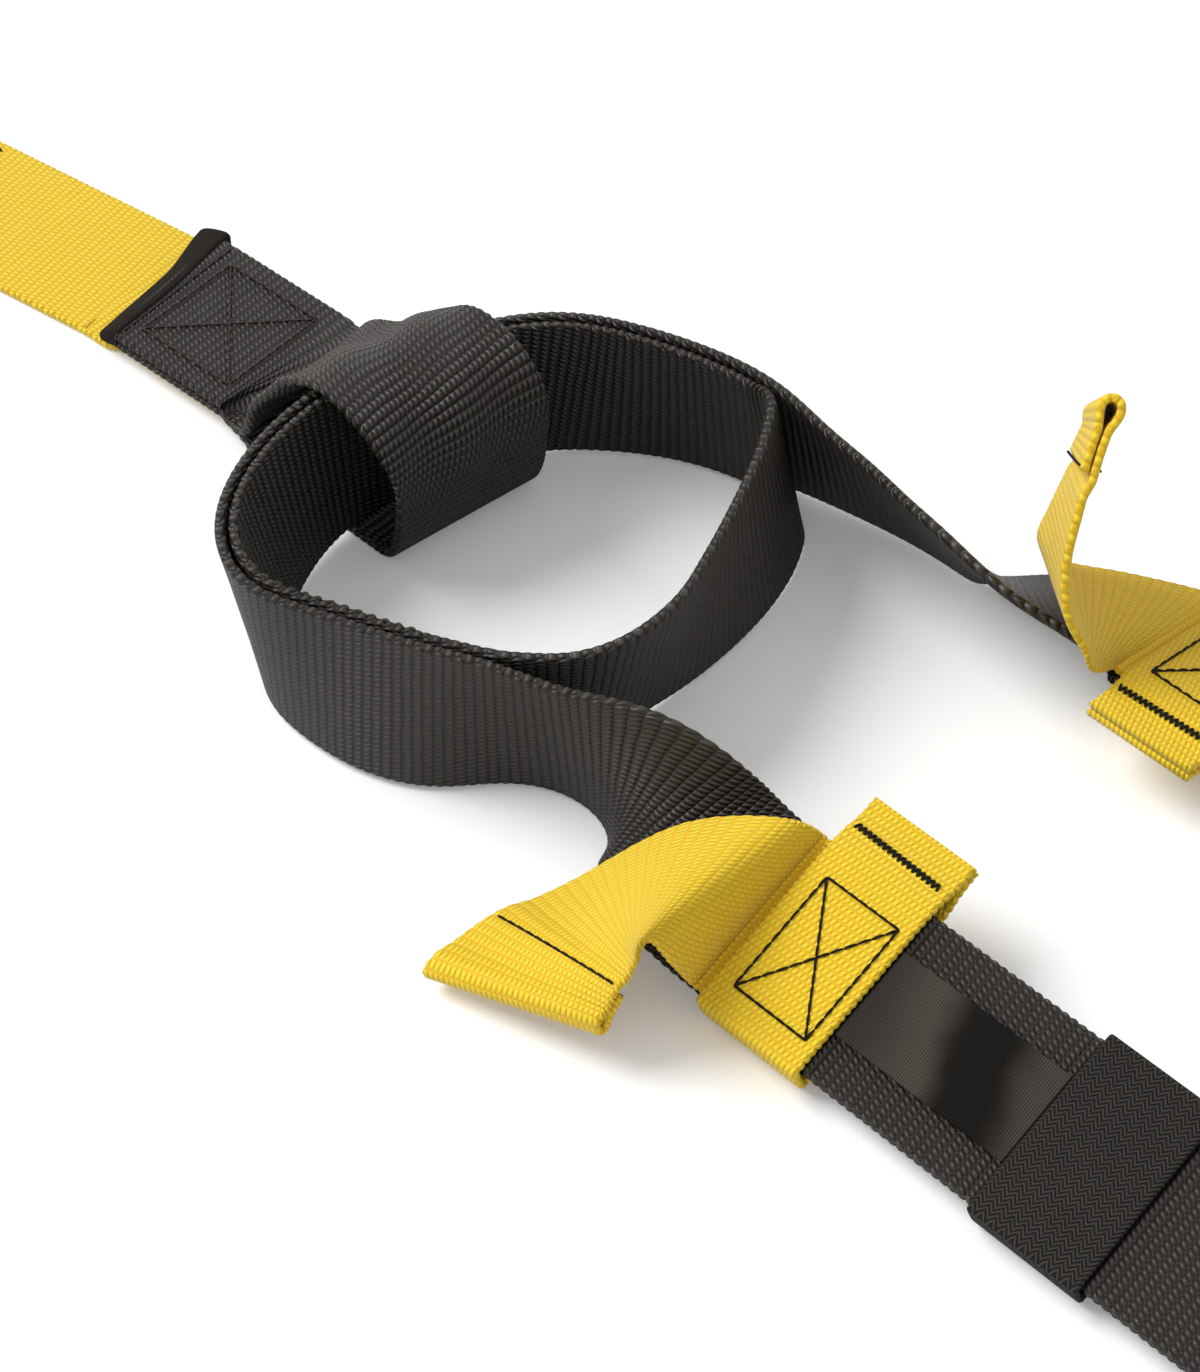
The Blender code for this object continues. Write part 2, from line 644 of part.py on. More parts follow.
def carabiner_gate():
    """Spring gate: a rod forked over the body's tongue, with a bore for its spring."""
    start, along, _ = gate_line()
    radius = GATE_ROD / 2
    tip = start + along * (GATE_START + GATE_LENGTH)
    path = list(reversed(round_end(GATE_START, -1, radius)))
    path += [(*(start + along * GATE_START), 1), (*tip, 1)]
    gate = finish(rod(path, radius), "carabiner_gate", bright_steel(), gate_pivot())
    slot_end = GATE_START + CARABINER_ROD / 2 + CLEARANCE
    half = GATE_TONGUE / 2 + CLEARANCE
    subtract(gate, gate_box("gate_slot", GATE_START - radius - CUT_OVERRUN, slot_end,
                            GATE_ROD + CUT_OVERRUN, -half, half))
    subtract(gate, gate_pin("gate_pin_hole", GATE_PIN_RADIUS + CLEARANCE, CUT_OVERRUN))
    bore = [(*(start + along * t), 1)
            for t in (slot_end - CLEARANCE, slot_end + GATE_BORE_DEPTH)]
    subtract(gate, finish(rod(bore, GATE_BORE_RADIUS), "gate_bore", bright_steel(),
                          gate_pivot()))
    heading = carabiner_point(*along) - carabiner_point(0, 0)
    first = carabiner_point(*(start + along * (slot_end + GATE_SPRING_WIRE * 2)))
    spring("gate_spring", first, GATE_BORE_DEPTH - GATE_SPRING_WIRE * 4,
           GATE_BORE_RADIUS - CLEARANCE - GATE_SPRING_WIRE, GATE_SPRING_WIRE,
           GATE_SPRING_TURNS, bright_steel(), heading)


def sling():
    """Black webbing sewn to the anchor strap at both ends, humped over the main strap."""
    low = ANCHOR_THICKNESS + CLEARANCE + WEBBING_THICKNESS / 2
    high = low + LAYER
    floor = WEBBING_THICKNESS / 2
    base = LOOP_REACH - SLING_SETBACK
    lap = ANCHOR_LAP + SLING_START / 2
    hump = []
    for edges in SLING_HUMP_SHARES:
        front, rear = (Vector((base + x * SLING_HUMP_LENGTH, y * WEBBING_WIDTH,
                               floor + z * SLING_HUMP_HEIGHT)) for x, y, z in edges)
        hump.append((*((front + rear) / 2), *(rear - front).normalized()))
    foot = Vector((lap + SLING_DROP, hump[-1][1], floor + CLEARANCE))
    under = Vector((hump[-1][0] - SLING_DROP, hump[-1][1], floor))
    rows = [(*sling_point(lap, high), *SLING_ACROSS)] + hump
    rows += [(*under, *SLING_ACROSS), (*foot, *SLING_ACROSS)]
    fine = [(x, y, max(z, floor), *w) for x, y, z, *w in smooth_rows(rows, STATION_STEP)]
    stations = [(sling_point(SLING_START, high), ANCHOR_ACROSS)]
    stations += [(Vector(r[:3]), Vector(r[3:]).normalized()) for r in fine]
    stations += [(sling_point(lap, low), SLING_ACROSS),
                 (sling_point(SLING_START, low), ANCHOR_ACROSS)]
    ribbon("sling", stations, WEBBING_WIDTH, WEBBING_THICKNESS, black_webbing())


def sling_end_band():
    """Smooth binding over the sling's cut end, folded down over the strap's edge."""
    low = ANCHOR_THICKNESS + CLEARANCE
    thick = WEBBING_THICKNESS * 2 + CLEARANCE
    x0 = SLING_START - CLEARANCE - BAND_LENGTH
    x1 = SLING_START - CLEARANCE
    bm = extruded_y([(x0, low), (x1, low), (x1, low + thick), (x0, low + thick)],
                    -HALF_WEBBING - BAND_OVERHANG, HALF_WEBBING + BAND_OVERHANG)
    turn = Matrix.Translation((0, ANCHOR_Y, 0)) @ Matrix.Rotation(ANCHOR_HEADING, 4, "Z")
    bmesh.ops.transform(bm, matrix=turn, verts=bm.verts)
    finish(bm, "sling_end_band", material("binding", (0.016, 0.014, 0.012), 0.45))


def loop_stations():
    """The loop's stations, carried on to the seam under each sleeve."""
    stations = rolled_stations(smooth_rows(route_rows(ROUTE_SHARES), STATION_STEP))
    start, end = FRONT.frame(FRONT.seam), REAR.frame(REAR.seam)
    return [start[:2]] + stations + [end[:2]]


def nearest(stations, x_share, y_share):
    """Index of the station nearest to a place on the floor plan."""
    x, y = LOOP_REACH + x_share * LOOP_LENGTH, y_share * LOOP_WIDTH
    return min(range(len(stations)),
               key=lambda i: (stations[i][0].x - x) ** 2 + (stations[i][0].y - y) ** 2)


def main_strap_loop():
    """The main strap's middle, from the front tab round the loop to the rear tab."""
    ribbon("main_strap_loop", loop_stations(), WEBBING_WIDTH, WEBBING_THICKNESS,
           black_webbing())


def locking_ring():
    """A closed inner ring, sewn inside the loop and crossing its mouth."""
    stations = loop_stations()
    first, last = (nearest(stations, *place) for place in RING_JOIN_SHARES)
    offset = WEBBING_THICKNESS + RING_CLEARANCE
    sewn = shifted(stations, [offset] * len(stations))[first:last + 1]
    crossing = rolled_stations(smooth_rows(route_rows(RING_CROSSING_SHARES), STATION_STEP))
    ribbon("locking_ring", sewn + crossing, WEBBING_WIDTH, WEBBING_THICKNESS,
           black_webbing(), closed=True)


def run_stations(side, xs, levels):
    """Stations of a layer of the run; its levels are measured square to the strap."""
    base = [side.frame(x)[:2] for x in xs]
    heights = [side.inward * (level - MAIN_LEVEL) for level in levels]
    return shifted(base, heights)


def spaced(a, b, step):
    parts = max(1, round((b - a) / step))
    return [a + (b - a) * k / parts for k in range(parts + 1)]


def build_run(side):
    """The stretch of main strap between the tab and the buckle, with the tail above it."""
    bar_x = side.buckle_x + TURN_BAR_BACK
    curve = spaced(side.curve_x, side.curve_end - CLEARANCE, STATION_STEP)
    xs = [side.seam + CLEARANCE] + curve + [bar_x - CLEARANCE]
    ribbon(side.name + "_main_strap", run_stations(side, xs, [MAIN_LEVEL] * len(xs)),
           WEBBING_WIDTH, WEBBING_THICKNESS, black_webbing())
    xs = [side.tab_x + SLEEVE_LENGTH / 2 + CLEARANCE] + curve
    stations = run_stations(side, xs, [side.tail_level(x) for x in xs])
    ribbon(side.name + "_tail_strap", stations, WEBBING_WIDTH, WEBBING_THICKNESS,
           black_webbing())


def build_turn(side):
    """The webbing inside the buckle: up round the turning bar and back over the plate."""
    bar = turn_axis(side)
    radius = bar.z - MAIN_LEVEL
    over = side.tail_level(side.curve_end)
    points = arc(bar.x, bar.z, radius, -90, 90, 8)
    points += ease_down(bar.x, bar.z + radius, side.buckle_x, over, 4)
    points.append((side.curve_end, over))
    across = Vector((0, side.inward, 0))
    stations = [(Vector((x, side.handle_y, z)), across) for x, z in points]
    ribbon(side.name + "_strap_turn", stations, WEBBING_WIDTH, WEBBING_THICKNESS,
           black_webbing())


def cam_axis(side):
    rise = PLATE_TOP + LAYER + CLEARANCE + CAM_RADIUS
    return Vector((side.buckle_x - CAM_BACK, side.handle_y, rise))


def turn_axis(side):
    rise = MAIN_LEVEL + TURN_BAR_RADIUS + CLEARANCE + WEBBING_THICKNESS / 2
    return Vector((side.buckle_x + TURN_BAR_BACK, side.handle_y, rise))


def yoke_axis(side):
    wrap = YOKE_BAR_RADIUS + LAYER + CLEARANCE
    back = turn_axis(side).x + TURN_BAR_RADIUS + LAYER + CLEARANCE * 2 + wrap
    return Vector((back, side.handle_y, turn_axis(side).z))


def grip_axis(side):
    return yoke_axis(side) + Vector((YOKE_LENGTH, 0, GRIP_RADIUS - yoke_axis(side).z))


def cheek_outline(side):
    """Cheek seen from the side, with a nose round the yoke bar and a back round the cam."""
    yoke, cam = yoke_axis(side), cam_axis(side)
    x0 = side.buckle_x - BUCKLE_FRONT
    nose = YOKE_BAR_RADIUS + BUCKLE_CHEEK * 2
    crown = BUCKLE_HEIGHT - cam.z
    outline = [(x0, 0), (yoke.x, 0)]
    outline += arc(yoke.x, yoke.z, nose, -60, 80, 6)
    outline += arc(cam.x, cam.z, crown, 60, 150, 5)
    outline += [(x0, PLATE_TOP + WEBBING_THICKNESS)]
    return outline


def buckle_frame(side):
    """Two cheeks joined by the plate that the tail runs over, with holes for the bars."""
    name = side.name + "_buckle_frame"
    x0 = side.buckle_x - BUCKLE_FRONT
    x1 = turn_axis(side).x - TURN_BAR_RADIUS - LAYER * 2
    outer = BUCKLE_INNER + BUCKLE_CHEEK
    plate_end = min(x1, side.buckle_x)
    plate = extruded_y([(x0 + CLEARANCE, PLATE_BOTTOM), (plate_end, PLATE_BOTTOM),
                        (plate_end, PLATE_TOP), (x0 + CLEARANCE, PLATE_TOP)],
                       side.handle_y - outer + BUCKLE_CHEEK / 2,
                       side.handle_y + outer - BUCKLE_CHEEK / 2)
    pivot = Vector((side.buckle_x, side.handle_y, 0))
    frame = finish(plate, name, black_steel(), pivot)
    for sign in (-1, 1):
        a = side.handle_y + sign * BUCKLE_INNER
        b = side.handle_y + sign * outer
        cheek = finish(extruded_y(cheek_outline(side), min(a, b), max(a, b)),
                       name + "_cheek" + ("a" if sign < 0 else "b"), black_steel(), pivot)
        cheek.hide_render = True
        cheek.display_type = "WIRE"
        join = frame.modifiers.new("cheek", "BOOLEAN")
        join.operation = "UNION"
        join.object = cheek
    for label, axis, radius in (("cam", cam_axis(side), CAM_AXLE_RADIUS),
                                ("turn", turn_axis(side), TURN_BAR_RADIUS),
                                ("yoke", yoke_axis(side), YOKE_BAR_RADIUS)):
        reach = outer + BUCKLE_CHEEK
        cutter = cylinder_y(name + "_" + label + "_hole", axis.x, side.handle_y - reach,
                            side.handle_y + reach, axis.z, radius + CLEARANCE, black_steel(),
                            pivot=pivot)
        subtract(frame, cutter)


def buckle_bars(side):
    reach = BUCKLE_INNER + BUCKLE_CHEEK + CLEARANCE
    for label, axis, radius, mat in (
            ("_cam_axle", cam_axis(side), CAM_AXLE_RADIUS, bright_steel()),
            ("_turn_bar", turn_axis(side), TURN_BAR_RADIUS, bright_steel()),
            ("_yoke_bar", yoke_axis(side), YOKE_BAR_RADIUS, bright_steel())):
        cylinder_y(side.name + label, axis.x, side.handle_y - reach, side.handle_y + reach,
                   axis.z, radius, mat, RIVET_FLANGE, RIVET_HEAD, axis)


def cam_lever(side):
    """Cam with teeth under the axle and a thumb lever that runs back over the strap."""
    axis = cam_axis(side)
    width = BUCKLE_INNER - CLEARANCE * 2
    room = spring_room()
    outline = []
    for angle in range(-150, -29, 12):
        tooth = CAM_TOOTH if (angle // 12) % 2 else 0.0
        r = CAM_RADIUS - tooth
        outline.append((axis.x + r * math.cos(math.radians(angle)),
                        axis.z + r * math.sin(math.radians(angle))))
    outline += arc(axis.x, axis.z, CAM_RADIUS, -15, 90, 6)
    tip_x = axis.x - CAM_LEVER_REACH
    tip_z = axis.z + CAM_LEVER_RISE
    outline += [(axis.x - CAM_LEVER_REACH / 2, tip_z - CAM_LEVER_THICKNESS / 2),
                (tip_x, tip_z + CAM_LEVER_THICKNESS / 2),
                (tip_x - CAM_LEVER_THICKNESS, tip_z),
                (tip_x, tip_z - CAM_LEVER_THICKNESS / 2),
                (axis.x - CAM_LEVER_REACH / 2, axis.z + CAM_LEVER_THICKNESS),
                (axis.x - CAM_RADIUS, axis.z)]
    bm = extruded_y(outline, side.handle_y - width, side.handle_y + width - room)
    lever = finish(bm, side.name + "_cam_lever", black_steel(), axis)
    hole = cylinder_y(side.name + "_cam_bore", axis.x, side.handle_y - width - room,
                      side.handle_y + width + room, axis.z, CAM_AXLE_RADIUS + CLEARANCE,
                      black_steel(), pivot=axis)
    subtract(lever, hole)


def spring_room():
    return (CAM_SPRING_WIRE * 2 + CLEARANCE * 2) * CAM_SPRING_TURNS + CAM_SPRING_WIRE * 4


def cam_spring(side):
    axis = cam_axis(side)
    width = BUCKLE_INNER - CLEARANCE * 2
    pitch_length = (CAM_SPRING_WIRE * 2 + CLEARANCE * 2) * CAM_SPRING_TURNS
    start = axis + Vector((0, width - spring_room() + CAM_SPRING_WIRE * 2, 0))
    radius = CAM_AXLE_RADIUS + CLEARANCE * 2 + CAM_SPRING_WIRE
    spring(side.name + "_cam_spring", start, pitch_length, radius, CAM_SPRING_WIRE,
           CAM_SPRING_TURNS, bright_steel(), (0, 1, 0))


def build_sleeve(side):
    """Yellow webbing wrapped round both layers, its ends sewn together past the edge."""
    top = STACK_TOP + TAB_THICKNESS / 2
    low = TAB_THICKNESS / 2
    edge = HALF_WEBBING + CLEARANCE + TAB_THICKNESS / 2
    tail = HALF_WEBBING + SLEEVE_TAIL
    join_top = (top + low) / 2 + (TAB_THICKNESS + CLEARANCE) / 2
    join_low = join_top - TAB_THICKNESS - CLEARANCE
    gap = SLEEVE_TAIL / 2
    corner = TAB_THICKNESS / 4
    path = [(tail, join_top), (edge + gap, join_top), (edge, top), (0, top),
            (-edge + corner, top), (-edge, top - corner), (-edge, low + corner),
            (-edge + corner, low), (0, low), (edge, low), (edge + gap, join_low),
            (tail, join_low)]
    middle = side.tab_x + SLEEVE_LENGTH / 2
    stations = [(side.at(middle, u, n), Vector((1, 0, 0))) for u, n in path]
    ribbon(side.name + "_adjuster_sleeve", stations, SLEEVE_LENGTH, TAB_THICKNESS,
           yellow_webbing())


def build_pull_tab(side, shares):
    """Yellow tab from under the sleeve, curling away to its folded and sewn end."""
    inside = side.tab_x + SLEEVE_LENGTH / 2
    mouth = side.at(side.tab_x, 0, TAIL_LEVEL)
    across = side.frame(side.tab_x)[1]
    rows = [(*side.at(side.tab_x - TAB_LEAD, 0, TAIL_LEVEL + TAB_RISE), *across)]
    for near, far in shares:
        near = mouth + Vector(near) * WEBBING_WIDTH
        far = mouth + Vector(far) * WEBBING_WIDTH
        rows.append((*((near + far) / 2), *(near - far).normalized()))
    fine = smooth_rows(rows, TAB_STEP)
    stations = [(side.at(inside, 0, TAIL_LEVEL), across), (mouth, across)]
    stations += [(Vector(r[:3]), Vector(r[3:]).normalized()) for r in fine]
    end = stations[-1][0]
    thickness = [TAB_THICKNESS * (2 if (centre - end).length < HEM_LENGTH else 1)
                 for centre, _ in stations]
    ribbon(side.name + "_pull_tab", stations, WEBBING_WIDTH, thickness, yellow_webbing(),
           square=False)


def build_trim(side):
    """Satin ribbon sewn along the tail and the elastic keeper round both layers."""
    x0 = side.tab_x + SLEEVE_LENGTH + CLEARANCE
    x1 = side.elastic_x - CLEARANCE
    level = STACK_TOP + RIBBON_THICKNESS / 2
    ribbon(side.name + "_marker_ribbon", run_stations(side, [x0, x1], [level] * 2),
           RIBBON_WIDTH, RIBBON_THICKNESS, material("satin", (0.045, 0.040, 0.038), 0.35))
    top = STACK_TOP + ELASTIC_THICKNESS / 2
    low = SLEEVE_FLOOR - CLEARANCE - ELASTIC_THICKNESS / 2
    edge = HALF_WEBBING + CLEARANCE + ELASTIC_THICKNESS / 2
    corner = ELASTIC_THICKNESS / 4
    half = [(edge - corner, low), (edge, low + corner), (edge, top - corner),
            (edge - corner, top)]
    path = [(0, low)] + half + [(0, top)] + [(-u, n) for u, n in reversed(half)]
    middle = side.elastic_x + ELASTIC_LENGTH / 2
    stations = [(side.at(middle, u, n), Vector((1, 0, 0))) for u, n in path]
    ribbon(side.name + "_elastic_keeper", stations, ELASTIC_LENGTH, ELASTIC_THICKNESS,
           material("elastic", (0.032, 0.031, 0.028), 0.9), closed=True)


def build_yoke(side):
    """One ring of webbing: round the yoke bar, down both sides and through the tube."""
    bar, grip = yoke_axis(side), grip_axis(side)
    half = GRIP_HALF_REACH + WEBBING_THICKNESS
    wrap = YOKE_BAR_RADIUS + CLEARANCE + WEBBING_THICKNESS / 2
    bend = YOKE_WEBBING / 2
    reach = grip.x - bar.x
    up, over = Vector((0, 0, 1)), Vector((0, 1, 0))

    def row(x, y, z, w):
        return (x, side.handle_y + y, z, *w.normalized())

    leg = [row(grip.x, half, grip.z, up), row(grip.x - bend / 3, half + bend / 2, grip.z, up),
           row(grip.x - bend, half + bend / 2, grip.z, up)]
    for x_share, y_share, climb_share, twist in YOKE_LEG_SHARES:
        z = bar.z + wrap + (grip.z - bar.z - wrap) * climb_share
        leg.append(row(bar.x + reach * x_share, half * y_share, z,
                       up * (1 - twist) + over * twist))
    upper = smooth_rows(leg, STATION_STEP)
    round_bar = [row(x, 0, z, over) for x, z in arc(bar.x, bar.z, wrap, 90, 270, 8)]
    leg = []
    for x_share, y_share, climb_share, twist in reversed(YOKE_LEG_SHARES):
        z = bar.z - wrap + (grip.z - bar.z + wrap) * climb_share
        leg.append(row(bar.x + reach * x_share, -half * y_share, z,
                       up * (1 - twist) + over * twist))
    leg += [row(grip.x - bend, -half - bend / 2, grip.z, up),
            row(grip.x - bend / 3, -half - bend / 2, grip.z, up),
            row(grip.x, -half, grip.z, up)]
    lower = smooth_rows(leg, STATION_STEP)
    stations = [(Vector(r[:3]), Vector(r[3:]).normalized())
                for r in upper + round_bar + lower]
    ribbon(side.name + "_handle_yoke", stations, YOKE_WEBBING, WEBBING_THICKNESS,
           black_webbing(), closed=True, pivot=bar)


def build_handle(side):
    grip = grip_axis(side)
    tube_half = GRIP_LENGTH / 2 + CLEARANCE * 2 + CRADLE_WEBBING
    inner = TUBE_RADIUS - TUBE_WALL
    turned_y(side.name + "_grip_tube", grip,
             [(-tube_half, TUBE_RADIUS), (tube_half, TUBE_RADIUS),
              (tube_half, inner), (-tube_half, inner)],
             material("tube_plastic", (0.05, 0.05, 0.05), 0.5))
    half = GRIP_LENGTH / 2
    bore = TUBE_RADIUS + CLEARANCE
    flare = GRIP_LENGTH / 8
    turned_y(side.name + "_grip_sleeve", grip,
             [(-half, GRIP_RADIUS), (-half + flare, GRIP_WAIST + CLEARANCE * 2),
              (0, GRIP_RADIUS - CLEARANCE), (half - flare, GRIP_WAIST + CLEARANCE * 2),
              (half, GRIP_RADIUS), (half, bore), (-half, bore)],
             rubber())
    for label, sign in (("_left_washer", -1), ("_right_washer", 1)):
        a = sign * (tube_half + CLEARANCE)
        b = a + sign * WASHER_THICKNESS
        turned_y(side.name + label, grip,
                 [(min(a, b), WASHER_RADIUS), (max(a, b), WASHER_RADIUS),
                  (max(a, b), inner), (min(a, b), inner)], rubber())


def build_cradle(side):
    """Foot cradle: two legs looped round the tube, a band across them and its pad."""
    grip = grip_axis(side)
    radius = TUBE_RADIUS + CLEARANCE + WEBBING_THICKNESS / 2
    low = WEBBING_THICKNESS / 2
    upper = low + LAYER
    centre_y = GRIP_LENGTH / 2 + CLEARANCE + CRADLE_WEBBING / 2
    end_x = grip.x + CRADLE_REACH
    for label, sign in (("_cradle_left_leg", -1), ("_cradle_right_leg", 1)):
        y = side.handle_y + sign * centre_y
        loop = arc(grip.x, grip.z, radius, 60, 270, 14)
        back = grip.x + radius * 2
        start = [(back + CRADLE_FOLD_BACK, upper)]
        climb = ease_down(back, upper, loop[0][0], loop[0][1], 4)
        settle = ease_down(loop[-1][0], loop[-1][1], back, low, 2)
        path = start + [(back, upper)] + climb[:-1] + loop + settle + [(end_x, low)]
        stations = [(Vector((x, y, z)), Vector((0, 1, 0))) for x, z in path]
        ribbon(side.name + label, stations, CRADLE_WEBBING, WEBBING_THICKNESS,
               black_webbing())
    reach = centre_y + CRADLE_WEBBING / 2
    middle = end_x - CRADLE_BAND_WIDTH / 2
    stations = [(Vector((middle, side.handle_y + s * reach, upper)), Vector((1, 0, 0)))
                for s in (-1, 1)]
    ribbon(side.name + "_cradle_band", stations, CRADLE_BAND_WIDTH, WEBBING_THICKNESS,
           black_webbing())
    pad = upper + WEBBING_THICKNESS / 2 + CLEARANCE
    half = GRIP_LENGTH / 2 - PAD_MARGIN
    bevel = PAD_THICKNESS / 3
    x0, x1 = middle - CRADLE_BAND_WIDTH / 2, middle + CRADLE_BAND_WIDTH / 2
    outline = [(x0, pad), (x1, pad), (x1, pad + PAD_THICKNESS - bevel),
               (x1 - bevel, pad + PAD_THICKNESS), (x0 + bevel, pad + PAD_THICKNESS),
               (x0, pad + PAD_THICKNESS - bevel)]
    finish(extruded_y(outline, side.handle_y - half, side.handle_y + half),
           side.name + "_cradle_pad", rubber())


def main():
    clear_scene()
    anchor_strap()
    carabiner_body()
    gate_pin("gate_pin", GATE_PIN_RADIUS)
    carabiner_gate()
    sling()
    sling_end_band()
    main_strap_loop()
    locking_ring()
    for side, shares in ((FRONT, FRONT_TAB_SHARES), (REAR, REAR_TAB_SHARES)):
        build_run(side)
        build_turn(side)
        buckle_frame(side)
        buckle_bars(side)
        cam_lever(side)
        cam_spring(side)
        build_sleeve(side)
        build_pull_tab(side, shares)
        build_trim(side)
        build_yoke(side)
        build_handle(side)
        build_cradle(side)


main()
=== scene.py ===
"""Looks of a suspension trainer laid out on the floor: webbing, stitching, hardware and stage.

Metres, +Z up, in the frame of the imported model. +X runs from the carabiner to the handles.
"""
import math

import bmesh
import bpy
import numpy as np
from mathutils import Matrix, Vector


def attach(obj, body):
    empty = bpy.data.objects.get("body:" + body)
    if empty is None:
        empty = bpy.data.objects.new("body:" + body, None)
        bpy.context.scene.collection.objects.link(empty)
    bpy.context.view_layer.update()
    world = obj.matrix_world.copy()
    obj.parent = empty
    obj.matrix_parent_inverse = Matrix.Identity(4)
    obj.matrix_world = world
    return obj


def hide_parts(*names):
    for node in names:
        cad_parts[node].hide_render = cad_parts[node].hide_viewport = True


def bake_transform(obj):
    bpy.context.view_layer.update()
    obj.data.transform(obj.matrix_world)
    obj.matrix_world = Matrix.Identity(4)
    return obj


bl_info = {
    "name": "Suspension trainer looks",
    "version": (1, 0, 0),
    "blender": (4, 5, 0),
    "location": "View3D > Sidebar > Trainer",
    "description": "Builds the webbing, stitching, hardware finishes and stage of a trainer",
    "category": "Add Mesh",
}

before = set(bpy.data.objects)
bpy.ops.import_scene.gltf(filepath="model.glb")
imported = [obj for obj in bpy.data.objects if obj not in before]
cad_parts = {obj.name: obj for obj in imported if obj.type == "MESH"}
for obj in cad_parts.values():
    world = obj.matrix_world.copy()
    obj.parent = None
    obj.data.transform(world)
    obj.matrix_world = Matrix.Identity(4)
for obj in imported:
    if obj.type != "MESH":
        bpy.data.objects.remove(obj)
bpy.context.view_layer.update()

# Sizes of the solids that the looks stand for: the webbing and the room round it
WEBBING_WIDTH, WEBBING_THICKNESS, CLEARANCE = 0.038, 0.0022, 0.0003
HALF_WEBBING, LAYER = WEBBING_WIDTH / 2, WEBBING_THICKNESS + CLEARANCE
# Anchor strap: its lap under the sling and the length over which it turns to it, and from
# its end where its layers meet and where the upper one stops
ANCHOR_THICKNESS, ANCHOR_LENGTH, ANCHOR_LAP, LAP_TURN = 0.0020, 0.232, 0.044, 0.008
ANCHOR_EYE_REACH, ANCHOR_BACK_REACH, CARABINER_ROD = 0.030, 0.090, 0.0095
ANCHOR_HEADING, SLING_HEADING, ANCHOR_Y = math.radians(9.5), math.radians(3), -0.0020
# Sling: its sewn start, how far its hump stands before the loop, its run-out and its hump
SLING_START, SLING_SETBACK, SLING_DROP = 0.0085, 0.0265, 0.012
SLING_HUMP_LENGTH, SLING_HUMP_HEIGHT = 0.052, 0.0430
PUCKER_HEIGHT, PUCKER_ACROSS, PUCKER_ALONG = 0.0007, 0.019, 0.055
BAND_LENGTH, BAND_WIDTH, BAND_HEIGHT, BAND_FLOOR = 0.0400, 0.0080, 0.0050, 0.0024
LOOP_REACH, LOOP_LENGTH, LOOP_WIDTH = 0.0815, 0.0870, 0.1160
# Levels in a leg, from the sleeve's floor up to the top of its two straps
TAB_THICKNESS = 0.0018
SLEEVE_FLOOR = TAB_THICKNESS + CLEARANCE
MAIN_LEVEL = SLEEVE_FLOOR + WEBBING_THICKNESS / 2
TAIL_LEVEL = MAIN_LEVEL + LAYER
STACK_TOP = TAIL_LEVEL + WEBBING_THICKNESS / 2 + CLEARANCE
# Lengths in a leg: the adjuster, the room for its travel, the curve to the buckle
SLEEVE_LENGTH, SLEEVE_TAIL, SLEEVE_SETBACK = 0.025, 0.0115, 0.4
RIBBON_LENGTH, RIBBON_WIDTH, RIBBON_THICKNESS, RIBBON_GAP = 0.040, 0.020, 0.0005, 0.00025
ELASTIC_LENGTH, ELASTIC_THICKNESS = 0.025, 0.0013
TRAVEL = 0.170 + 0.012
CURVE_LENGTH, HANDLE_SPREAD = 0.110, 0.028
TAIL_CLIMB, TAIL_LOOSE = 0.030, 0.0010
# Buckle: its front, its plate, its two bars and the level of the strap over the plate
BUCKLE_FRONT, BUCKLE_PLATE_TOP = 0.022, 0.0062
TURN_BAR_BACK, YOKE_BAR_BACK, BAR_LEVEL, YOKE_BAR_RADIUS = 0.016, 0.0281, 0.0078, 0.0030
OVER_PLATE = BUCKLE_PLATE_TOP + LAYER - WEBBING_THICKNESS / 2
# Handle and cradle
YOKE_WEBBING, CRADLE_WEBBING, YOKE_LENGTH = 0.025, 0.018, 0.096
GRIP_LENGTH, GRIP_RADIUS, GRIP_WAIST, GRIP_SWELL = 0.096, 0.0185, 0.0171, 0.0182
GRIP_FLARE, GRIP_BORE, GRIP_EDGE = 0.012, 0.0153, 0.0008
KNURL_PITCH, KNURL_TURNS, KNURL_DEPTH = 0.0048, 24, 0.0003
TUBE_RADIUS, TUBE_BORE = 0.0150, 0.0130
TUBE_HALF = GRIP_LENGTH / 2 + CLEARANCE * 2 + CRADLE_WEBBING
WASHER_RADIUS, WASHER_THICKNESS, WASHER_ROUND = 0.0182, 0.0030, 0.0006
CRADLE_REACH, CRADLE_BAND, PAD_LENGTH, PAD_THICKNESS = 0.112, 0.038, 0.092, 0.005
# A tab's first row out of its sleeve: how far on and how far up
TAB_STEP, TAB_LIFT = 0.003, 0.0008
# The hem at a tab's end, as lengths back from it: start, swell, eye's radius, turned end and
# the row of stitches
HEM_START, HEM_SWELL, HEM_EYE, HEM_BACK, HEM_STITCHES = 0.017, 0.006, 0.0020, 0.0125, 0.0130
# Step of the rows along a strap and the rows that a free end takes to square up, texture
# units to a metre and to a radian, the yellow webbing's rib as a share of the black one's
FINE, FREE_ROWS = 0.00048, 12
UV_PER_METRE, UV_PER_RADIAN, YELLOW_RIB = 100, 1.8, 0.8
# Threads, and the distance between the points of a tack
THREAD_RADIUS, THREAD_BULGE, TACK_PITCH = 0.00028, 0.0003, 0.00060
